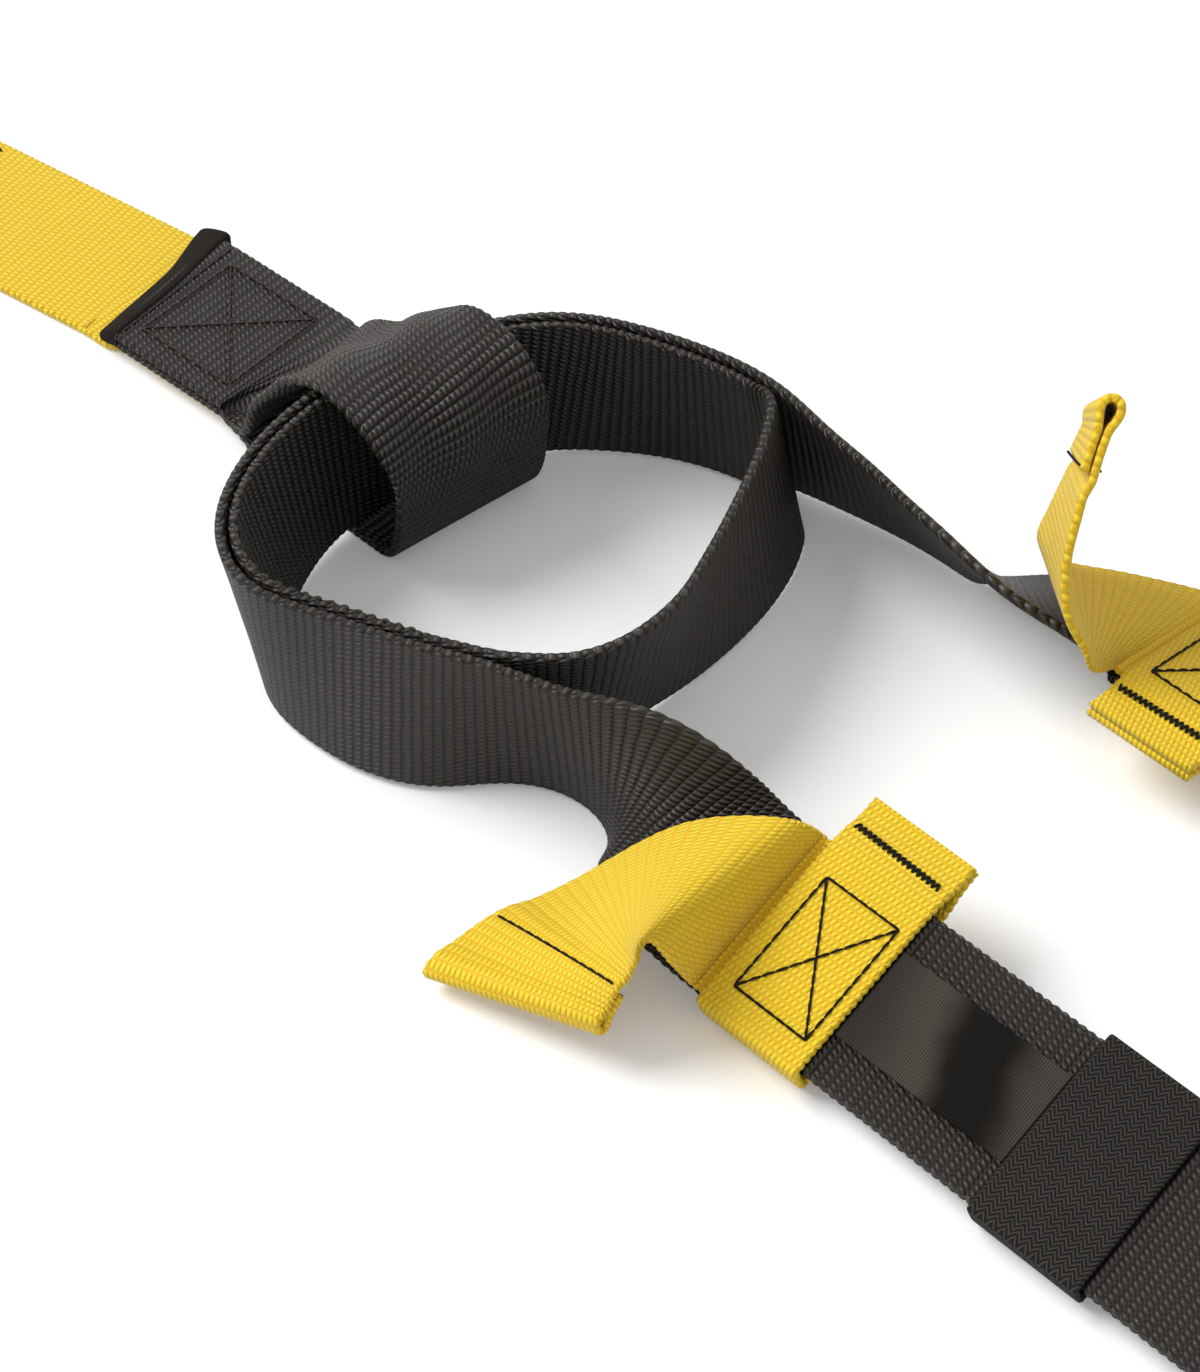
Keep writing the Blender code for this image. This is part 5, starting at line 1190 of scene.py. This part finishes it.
def rounded_block(name, centre, size, across, corner, finish, crown=0.0, parts=64):
    """A soft block lofted along its longest side: rounded sections whose size follows a
    quarter round over the end corners, with a crown that lifts the top's middle."""
    across = unit(np.asarray(across, float))
    run = unit(np.cross((0, 0, 1.0), across))
    length, width, height = size
    bevel = corner * (1 - np.cos(np.linspace(0, np.pi / 2, 7)))
    t = np.concatenate([bevel - length / 2,
                        np.linspace(-length / 2 + corner, length / 2 - corner, parts)[1:-1],
                        length / 2 - bevel[::-1]])
    depth = np.minimum(length / 2 - np.abs(t), corner)
    inset = corner - np.sqrt(np.maximum(corner ** 2 - (corner - depth) ** 2, 0))
    a, b = rounded_section(width, height, corner, 26)
    a = a[None, :] - np.sign(a)[None, :] * np.minimum(inset[:, None], np.abs(a)[None, :])
    b = b[None, :] - np.sign(b)[None, :] * np.minimum(inset[:, None], np.abs(b)[None, :] * 0.98)
    rise = crown * np.cos(np.pi * t / length)[:, None] * np.cos(np.pi * a / width)
    b = b + np.where(b > 0, rise, 0)
    points = (np.asarray(centre) + across * t[:, None, None] + run * a[..., None]
              + np.array([0, 0, 1.0]) * b[..., None])
    uv = np.stack(np.broadcast_arrays(np.append(a[0], a[0, 0])[None, :] * UV_PER_METRE,
                                      np.append(t, t[-1])[:, None] * UV_PER_METRE), axis=-1)
    return put_mesh(name, points, len(t), a.shape[1], uv, False, True, finish)


def band_points(co):
    """The binding's block laid on the sling's end: its front edge slants back and its rear
    edge bows along the band, its top falls to the front edge by a quarter sine, and it all
    turns to the anchor strap's heading."""
    x, y, z = co.T
    share = x / BAND_WIDTH + 0.5
    front = 0.0044 - 0.0030 * ease((y - 0.002) / HALF_WEBBING)
    back = 0.0108 + 0.0004 * np.cos(y * np.pi / HALF_WEBBING)
    x = front + (back - front) * share
    fall = np.sin(np.pi / 2 * np.clip(share, 0, 1))
    z = BAND_FLOOR + (z - BAND_FLOOR) * (0.45 + 0.55 * fall)
    c, s = math.cos(ANCHOR_HEADING), math.sin(ANCHOR_HEADING)
    return np.column_stack([c * x - s * y, s * x + c * y + ANCHOR_Y, z])


def refined(node, finish, slot, body, width=0.00035):
    """A finished copy of a rigid solid: its loose triangles joined, its degenerate slivers
    dissolved, and its sharp edges given a small round."""
    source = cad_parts[node]
    work = bmesh.new()
    work.from_mesh(source.data)
    bmesh.ops.remove_doubles(work, verts=work.verts, dist=1e-6)
    bmesh.ops.dissolve_degenerate(work, edges=work.edges, dist=1e-6)
    sharp = [e for e in work.edges if len(e.link_faces) == 2
             and e.calc_face_angle(0) > math.radians(32)]
    bmesh.ops.bevel(work, geom=sharp, offset=width, segments=2, profile=0.6, affect="EDGES",
                    clamp_overlap=True)
    mesh = bpy.data.meshes.new(node + "_finished")
    work.to_mesh(mesh)
    work.free()
    mesh.shade_smooth()
    mesh.set_sharp_from_angle(angle=math.radians(40))
    dress(placed(node + "_finished", mesh, finish), body, slot, node)


class TrainerColours(bpy.types.PropertyGroup):
    """Colours that a user would change"""
    yellow: bpy.props.FloatVectorProperty(
        name="Yellow", description="Colour of the anchor strap and tabs", subtype="COLOR",
        size=3, min=0, max=1, default=(0.95, 0.68, 0.016))
    black: bpy.props.FloatVectorProperty(
        name="Black", description="Colour of the black webbing", subtype="COLOR",
        size=3, min=0, max=1, default=(0.046, 0.0365, 0.028))


class TrainerWeave(bpy.types.PropertyGroup):
    """Sizes of the weave and the stitching"""
    rib: bpy.props.FloatProperty(
        name="Rib", description="Length of one rib of the webbing", unit="LENGTH",
        min=0.0005, max=0.005, default=0.00205)
    relief: bpy.props.FloatProperty(
        name="Relief", description="Depth between two ribs", unit="LENGTH",
        min=0, max=0.0005, default=0.00015)
    scallop: bpy.props.FloatProperty(
        name="Scallop", description="Depth of the notches along the selvedges",
        unit="LENGTH", min=0, max=0.001, default=0.0004)
    stitch: bpy.props.FloatProperty(
        name="Stitch", description="Length of one stitch", unit="LENGTH",
        min=0.001, max=0.006, default=0.0026)


class TrainerStage(bpy.types.PropertyGroup):
    """Floor and light"""
    key: bpy.props.FloatProperty(
        name="Key light", description="Strength of the soft light from one side",
        min=0, max=10, default=2.3)
    fill: bpy.props.FloatProperty(
        name="Fill", description="Strength of the even light from all round",
        min=0, max=2, default=0.52)
    floor: bpy.props.FloatProperty(
        name="Floor", description="Side length of the floor", unit="LENGTH",
        min=1, max=40, default=12)


def strap(name, lie, width, thickness, finish, **more):
    """Webbing with the scene's weave sizes."""
    weave = bpy.context.scene.trainer_weave
    rib = weave.rib * (YELLOW_RIB if finish == "yellow" else 1)
    return webbing(name, lie, width, thickness, ready()[finish], rib=rib,
                   depth=more.pop("depth", weave.relief),
                   scallop=more.pop("scallop", weave.scallop), **more)


class TRAINER_OT_stage(bpy.types.Operator):
    """Camera, white floor and soft studio light"""
    bl_idname = "trainer.stage"
    bl_label = "Stage"
    bl_options = {"REGISTER", "UNDO"}

    def execute(self, context):
        scene, settings = context.scene, context.scene.trainer_stage
        lens = bpy.data.cameras.new("camera")
        lens.lens, lens.sensor_width, lens.sensor_fit = CAMERA_LENS, SENSOR_WIDTH, "AUTO"
        lens.clip_start, lens.clip_end = 0.01, 60
        camera = bpy.data.objects.new("camera", lens)
        forward = CAMERA_TARGET - CAMERA_PLACE
        camera.location = CAMERA_PLACE
        camera.rotation_euler = forward.to_track_quat("-Z", "Y").to_euler()
        scene.collection.objects.link(camera)
        scene.camera = camera
        up = Vector((0, 0, 1))
        right = forward.normalized().cross(up).normalized()
        offset = up.cross(right) * KEY_AHEAD - right * KEY_LEFT + up * KEY_UP
        light = bpy.data.lights.new("soft_key", "SUN")
        light.energy, light.angle = settings.key, KEY_SIZE
        obj = bpy.data.objects.new("soft_key", light)
        obj.location = CAMERA_TARGET + offset
        obj.rotation_euler = (-offset).to_track_quat("-Z", "Y").to_euler()
        scene.collection.objects.link(obj)
        world = bpy.data.worlds.new("white_room")
        world.use_nodes = True
        tree = world.node_tree
        path = tree.nodes.new("ShaderNodeLightPath")
        seen = number(tree, "MAXIMUM", path.outputs["Is Camera Ray"],
                      path.outputs["Is Glossy Ray"])
        seen = number(tree, "MAXIMUM", seen, path.outputs["Is Transmission Ray"])
        strength = add_node(tree, "ShaderNodeMapRange", Value=seen)
        fill(tree, strength, {"To Min": settings.fill, "To Max": 1.0})
        back = tree.nodes["Background"]
        back.inputs["Color"].default_value = (1, 1, 1, 1)
        tree.links.new(strength.outputs[0], back.inputs["Strength"])
        scene.world = world
        scene.view_settings.view_transform = "Standard"
        mesh = bpy.data.meshes.new("floor")
        half = settings.floor / 2
        mesh.from_pydata([(-half, -half, 0), (half, -half, 0), (half, half, 0),
                          (-half, half, 0)], [], [(0, 1, 2, 3)])
        floor = bpy.data.objects.new("floor", mesh)
        floor.location.z = -FLOOR_GAP
        paper = Finish("floor_paper", (1.0, 1.0, 1.0), 0.9, Specular_IOR_Level=0.0)
        seen = paper.add("ShaderNodeLightPath").outputs["Is Camera Ray"]
        paper.link(paper.colour_between(seen, (0.8, 0.8, 0.8), (1.0, 1.0, 1.0)), "Base Color")
        paper.shader.inputs["Emission Color"].default_value = (1, 1, 1, 1)
        paper.link(number(paper.tree, "MULTIPLY", seen, 0.15), "Emission Strength")
        mesh.materials.append(paper.material)
        scene.collection.objects.link(floor)
        return {"FINISHED"}


class TRAINER_OT_anchor(bpy.types.Operator):
    """Yellow anchor strap with its sewn eye, the carabiner and its gate"""
    bl_idname = "trainer.anchor"
    bl_label = "Anchor strap"
    bl_options = {"REGISTER", "UNDO"}

    def execute(self, context):
        lie = anchor_lie()
        piece = strap("anchor_webbing", lie, WEBBING_WIDTH, ANCHOR_THICKNESS, "yellow",
                      share=narrowed)
        dress(piece, "root", "yellow_webbing", "anchor_strap")
        s = lie.nearest(towards_anchor(EYE_SEAM, 0.0033))
        s0, u0, s1, u1 = EYE_BOX
        rows = [box_cross(s + s0, u0, s + s1, u1),
                *(bar_tack(s + gone, -TACK_REACH, s + gone, TACK_REACH) for gone in EYE_TACKS)]
        stitches = threads("anchor_eye_stitches", lie, np.vstack(rows), ANCHOR_STITCH_LEVEL,
                           ready()["thread"])
        dress(stitches, "root", "black_webbing")
        s = lie.nearest(towards_anchor(MIDDLE_TACK, ANCHOR_THICKNESS / 2))
        tack = threads("anchor_middle_tack", lie, bar_tack(s, -TACK_REACH, s, TACK_REACH),
                       -ANCHOR_STITCH_LEVEL, ready()["thread"])
        dress(tack, "root", "black_webbing")
        for node, body in (("carabiner_body", "carabiner"), ("carabiner_gate", "gate"),
                           ("gate_pin", "carabiner"), ("gate_spring", "gate")):
            refined(node, ready()["steel"], "bright_steel", body, 0.0005)
        return {"FINISHED"}


class TRAINER_OT_sling(bpy.types.Operator):
    """Black sling that holds the loop, with the smooth band on its end"""
    bl_idname = "trainer.sling"
    bl_label = "Sling"
    bl_options = {"REGISTER", "UNDO"}

    def execute(self, context):
        lie = sling_lie()
        piece = strap("sling_webbing", lie, WEBBING_WIDTH, WEBBING_THICKNESS, "black",
                      rise=lambda s, a: pucker(lie, s, a))
        dress(piece, "root", "black_webbing", "sling")
        rows = np.vstack([box_cross(*SLING_BOX), stitch_line(*SLING_ROW)])
        stitches = threads("sling_box_stitches", lie, rows, 0.0010, ready()["dark_thread"],
                           radius=0.00026)
        dress(stitches, "root", "black_webbing")
        band = rounded_block("sling_end_binding", (0, 0, BAND_FLOOR + BAND_HEIGHT / 2),
                             (BAND_LENGTH, BAND_WIDTH, BAND_HEIGHT), (0, 1, 0), 0.0012,
                             ready()["binding"])
        points = band_points(np.array([v.co for v in band.data.vertices]))
        band.data.vertices.foreach_set("co", points.ravel())
        dress(band, "root", "binding", "sling_end_band")
        return {"FINISHED"}


class TRAINER_OT_loop(bpy.types.Operator):
    """Black loop of the main strap and the locking ring inside it"""
    bl_idname = "trainer.loop"
    bl_label = "Loop"
    bl_options = {"REGISTER", "UNDO"}

    def execute(self, context):
        lie = loop_lie()
        piece = strap("loop_webbing", lie, WEBBING_WIDTH, WEBBING_THICKNESS, "black")
        dress(piece, "root", "black_webbing", "main_strap_loop")
        ring = ring_lie(lie)
        inner = strap("ring_webbing", ring, WEBBING_WIDTH, WEBBING_THICKNESS, "black")
        dress(inner, "root", "black_webbing", "locking_ring")
        s0, s1 = ring.gone[30], ring.gone[int(len(ring.gone) * 0.62)]
        row = stitch_line(s0, RING_EDGE, s1, RING_EDGE, pitch=0.0030, gap=0.0013)
        edge = threads("loop_edge_stitches", ring, row, 0.0004, ready()["dark_thread"],
                       radius=0.00042)
        dress(edge, "root", "black_webbing")
        return {"FINISHED"}


class TRAINER_OT_straps(bpy.types.Operator):
    """Main straps, their tails and the turns through the buckles"""
    bl_idname = "trainer.straps"
    bl_label = "Main straps"
    bl_options = {"REGISTER", "UNDO"}

    def execute(self, context):
        for side in SIDES:
            name = side.name
            start = tuple(side.at(side.elastic_x + ELASTIC_LENGTH + 0.005, 0, MAIN_LEVEL))
            end = tuple(side.at(side.curve_x, 0, MAIN_LEVEL))
            run = side.run(side.seam + CLEARANCE, side.turn[0] - CLEARANCE, MAIN_LEVEL)
            main = strap(name + "_main_webbing", run, WEBBING_WIDTH, WEBBING_THICKNESS, "black")
            dress(main, None, "black_webbing", name + "_main_strap",
                  bends=("root", name + "_buckle", start, end))
            run = side.run(side.sleeve_x + CLEARANCE, side.curve_end - CLEARANCE,
                           side.tail_level)
            tail = strap(name + "_tail_webbing", run, WEBBING_WIDTH, WEBBING_THICKNESS, "black")
            dress(tail, None, "black_webbing", name + "_tail_strap",
                  bends=(name + "_tab", name + "_buckle", start, end))
            run = turn_lie(side)
            turn = strap(name + "_turn_webbing", run, WEBBING_WIDTH, WEBBING_THICKNESS, "black")
            dress(turn, name + "_buckle", "black_webbing", name + "_strap_turn")
        return {"FINISHED"}


class TRAINER_OT_adjusters(bpy.types.Operator):
    """Yellow sleeves and pull tabs, dark ribbons and elastic keepers"""
    bl_idname = "trainer.adjusters"
    bl_label = "Length adjusters"
    bl_options = {"REGISTER", "UNDO"}

    def execute(self, context):
        for side, shares in zip(SIDES, (FRONT_TAB, REAR_TAB)):
            self.sleeve(side)
            self.tab(side, shares)
            self.ribbon(side)
            self.keeper(side)
        return {"FINISHED"}

    def sleeve(self, side):
        """The sleeve round the two straps, its sewn box and the tack on its tail"""
        name, body = side.name, side.name + "_tab"
        lie = sleeve_lie(side)
        sleeve = strap(name + "_sleeve_webbing", lie, SLEEVE_LENGTH, TAB_THICKNESS, "yellow")
        dress(sleeve, body, "yellow_webbing", name + "_adjuster_sleeve")
        top = lie.nearest(side.at(side.sleeve_x, 0, STACK_TOP + TAB_THICKNESS / 2))
        x0, x1, u0, u1 = SLEEVE_BOX[name]
        s0, v0, s1, v1 = SLEEVE_TACK
        rows = np.vstack([box_cross(top - u0, x0 - SLEEVE_LENGTH / 2, top - u1,
                                    x1 - SLEEVE_LENGTH / 2),
                          bar_tack(top + s0, v0, top + s1, v1, SLEEVE_TACK_WIDTH)])
        stitches = threads(name + "_sleeve_stitches", lie, rows,
                           side.inward * TAB_THICKNESS / 2, ready()["thread"])
        dress(stitches, body, "black_webbing")

    def tab(self, side, shares):
        """The pull tab with its hem, sewn through from both faces"""
        name, body = side.name, side.name + "_tab"
        flat = tab_lie(side, shares)
        lie = hemmed(flat, -side.inward)
        tab = strap(name + "_tab_webbing", lie, WEBBING_WIDTH, TAB_THICKNESS, "yellow")
        dress(tab, body, "yellow_webbing", name + "_pull_tab")
        s = flat.length - HEM_STITCHES
        for face, level in (("top", -side.inward), ("under", side.inward)):
            hem = threads(f"{name}_hem_{face}_stitches", flat,
                          stitch_line(s, -0.0178, s + 0.0012, 0.0170),
                          level * (TAB_THICKNESS + 0.0001), ready()["thread"])
            dress(hem, body, "black_webbing")

    def ribbon(self, side):
        """The satin ribbon between the sleeve and the keeper"""
        name = side.name
        run = side.run(side.tab_x + SLEEVE_LENGTH + CLEARANCE, side.elastic_x - CLEARANCE,
                       STACK_TOP + RIBBON_GAP)
        ribbon = strap(name + "_ribbon", run, RIBBON_WIDTH, RIBBON_THICKNESS, "satin",
                       depth=0.0, scallop=0.0)
        dress(ribbon, name + "_tab", "satin", name + "_marker_ribbon")

    def keeper(self, side):
        """The elastic band round the two straps"""
        name, lie = side.name, elastic_lie(side)
        keeper = strap(name + "_elastic_band", lie, ELASTIC_LENGTH, ELASTIC_THICKNESS,
                       "elastic", depth=0.0, scallop=0.0)
        dress(keeper, name + "_tab", "elastic", name + "_elastic_keeper")


class TRAINER_OT_buckles(bpy.types.Operator):
    """Metal of the two cam buckles"""
    bl_idname = "trainer.buckles"
    bl_label = "Buckles"
    bl_options = {"REGISTER", "UNDO"}

    def execute(self, context):
        for side in SIDES:
            name, body = side.name, side.name + "_buckle"
            for part, finish, slot, rides in (
                    ("buckle_frame", "dark_steel", "black_steel", body),
                    ("cam_axle", "steel", "bright_steel", body),
                    ("turn_bar", "steel", "bright_steel", body),
                    ("yoke_bar", "steel", "bright_steel", body),
                    ("cam_spring", "steel", "bright_steel", body),
                    ("cam_lever", "dark_steel", "black_steel", name + "_cam")):
                refined(name + "_" + part, ready()[finish], slot, rides)
        return {"FINISHED"}


class TRAINER_OT_handles(bpy.types.Operator):
    """Handles: webbing yoke, plastic tube, rubber grip and end washers"""
    bl_idname = "trainer.handles"
    bl_label = "Handles"
    bl_options = {"REGISTER", "UNDO"}

    def execute(self, context):
        for side in SIDES:
            name, body = side.name, side.name + "_grip"
            lie = yoke_lie(side)
            yoke = strap(name + "_yoke_webbing", lie, YOKE_WEBBING, WEBBING_THICKNESS, "black",
                         columns=16)
            dress(yoke, name + "_handle", "black_webbing", name + "_handle_yoke")
            s = lie.nearest(side.yoke + ((side.grip[0] - side.yoke[0]) * 0.13, 0, 0.0044))
            rows = [bar_tack(at, -YOKE_TACK_REACH, at, YOKE_TACK_REACH)
                    for at in (s, s + YOKE_TACK_STEP)]
            sewn = threads(name + "_yoke_stitches", lie, np.vstack(rows), top_level(lie, s),
                           ready()["dark_thread"])
            dress(sewn, name + "_handle", "black_webbing")
            tube = turned(name + "_tube", side.grip, *tube_profile(), ready()["plastic"])
            dress(tube, body, "tube_plastic", name + "_grip_tube")
            grip = turned(name + "_rubber_grip", side.grip, *grip_profile(),
                          ready()["rubber"], parts=192, relief=knurl)
            dress(grip, body, "rubber", name + "_grip_sleeve")
            for end, sign in (("left", -1), ("right", 1)):
                at = sign * (TUBE_HALF + CLEARANCE + WASHER_THICKNESS / 2)
                disc = turned(f"{name}_{end}_washer_moulded", side.grip + (0, at, 0),
                              *washer_profile(), ready()["plastic"], parts=96)
                dress(disc, body, "tube_plastic", f"{name}_{end}_washer")
        return {"FINISHED"}


class TRAINER_OT_cradles(bpy.types.Operator):
    """Foot cradles: two hanging legs, a cross band and its pad"""
    bl_idname = "trainer.cradles"
    bl_label = "Foot cradles"
    bl_options = {"REGISTER", "UNDO"}

    def execute(self, context):
        for side in SIDES:
            name, body = side.name, side.name + "_cradle"
            for end, sign in (("left", -1), ("right", 1)):
                lie = leg_lie(side, sign)
                leg = strap(f"{name}_{end}_leg_webbing", lie, CRADLE_WEBBING,
                            WEBBING_THICKNESS, "black", columns=12)
                dress(leg, body, "black_webbing", f"{name}_cradle_{end}_leg")
                sewn = threads(f"{name}_{end}_leg_stitches", lie,
                               box_cross(*LEG_BOX), top_level(lie, 0.010),
                               ready()["dark_thread"])
                dress(sewn, body, "black_webbing")
            level = WEBBING_THICKNESS / 2 + LAYER
            middle = side.grip[0] + CRADLE_REACH - CRADLE_BAND / 2
            lie = band_lie(side, middle, level)
            band = strap(name + "_band_webbing", lie, CRADLE_BAND, WEBBING_THICKNESS, "black")
            dress(band, body, "black_webbing", name + "_cradle_band")
            margin = 0.0020
            rows = [box_cross(s, -0.0160, s + CRADLE_WEBBING - margin * 2, 0.0160)
                    for s in (margin, lie.length - CRADLE_WEBBING + margin)]
            sewn = threads(name + "_band_stitches", lie, np.vstack(rows),
                           top_level(lie, 0.010), ready()["dark_thread"])
            dress(sewn, body, "black_webbing")
            z = level + WEBBING_THICKNESS / 2 + CLEARANCE + PAD_THICKNESS / 2
            pad = rounded_block(name + "_foot_pad", (middle, side.handle_y, z),
                                (PAD_LENGTH, CRADLE_BAND, PAD_THICKNESS), (0, 1, 0), 0.0016,
                                ready()["foam"], crown=0.0012)
            dress(pad, body, "rubber", name + "_cradle_pad")
        return {"FINISHED"}


class TRAINER_PT_panel(bpy.types.Panel):
    """Sidebar list of the trainer's pieces and settings"""
    bl_label = "Trainer"
    bl_idname = "TRAINER_PT_panel"
    bl_space_type = "VIEW_3D"
    bl_region_type = "UI"
    bl_category = "Trainer"

    def draw(self, context):
        for operator in OPERATORS:
            self.layout.operator(operator.bl_idname)
        for group, names in (("trainer_colours", ("yellow", "black")),
                             ("trainer_weave", ("rib", "relief", "scallop", "stitch")),
                             ("trainer_stage", ("key", "fill", "floor"))):
            for name in names:
                self.layout.prop(getattr(context.scene, group), name)


OPERATORS = (TRAINER_OT_stage, TRAINER_OT_anchor, TRAINER_OT_sling, TRAINER_OT_loop,
             TRAINER_OT_straps, TRAINER_OT_adjusters, TRAINER_OT_buckles, TRAINER_OT_handles,
             TRAINER_OT_cradles)
GROUPS = {"trainer_colours": TrainerColours, "trainer_weave": TrainerWeave,
          "trainer_stage": TrainerStage}


def register():
    """Adds the classes, then the settings to the scene."""
    for kind in (*GROUPS.values(), *OPERATORS, TRAINER_PT_panel):
        bpy.utils.register_class(kind)
    for name, kind in GROUPS.items():
        setattr(bpy.types.Scene, name, bpy.props.PointerProperty(type=kind))


def unregister():
    """Takes the settings and the classes off again, in the opposite order."""
    for name in GROUPS:
        delattr(bpy.types.Scene, name)
    for kind in (TRAINER_PT_panel, *reversed(OPERATORS), *GROUPS.values()):
        bpy.utils.unregister_class(kind)


def main():
    """Registers the add-on and makes every piece."""
    register()
    bpy.ops.trainer.stage()
    bpy.ops.trainer.anchor()
    bpy.ops.trainer.sling()
    bpy.ops.trainer.loop()
    bpy.ops.trainer.straps()
    bpy.ops.trainer.adjusters()
    bpy.ops.trainer.buckles()
    bpy.ops.trainer.handles()
    bpy.ops.trainer.cradles()
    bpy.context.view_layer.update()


if __name__ == "__main__":
    main()
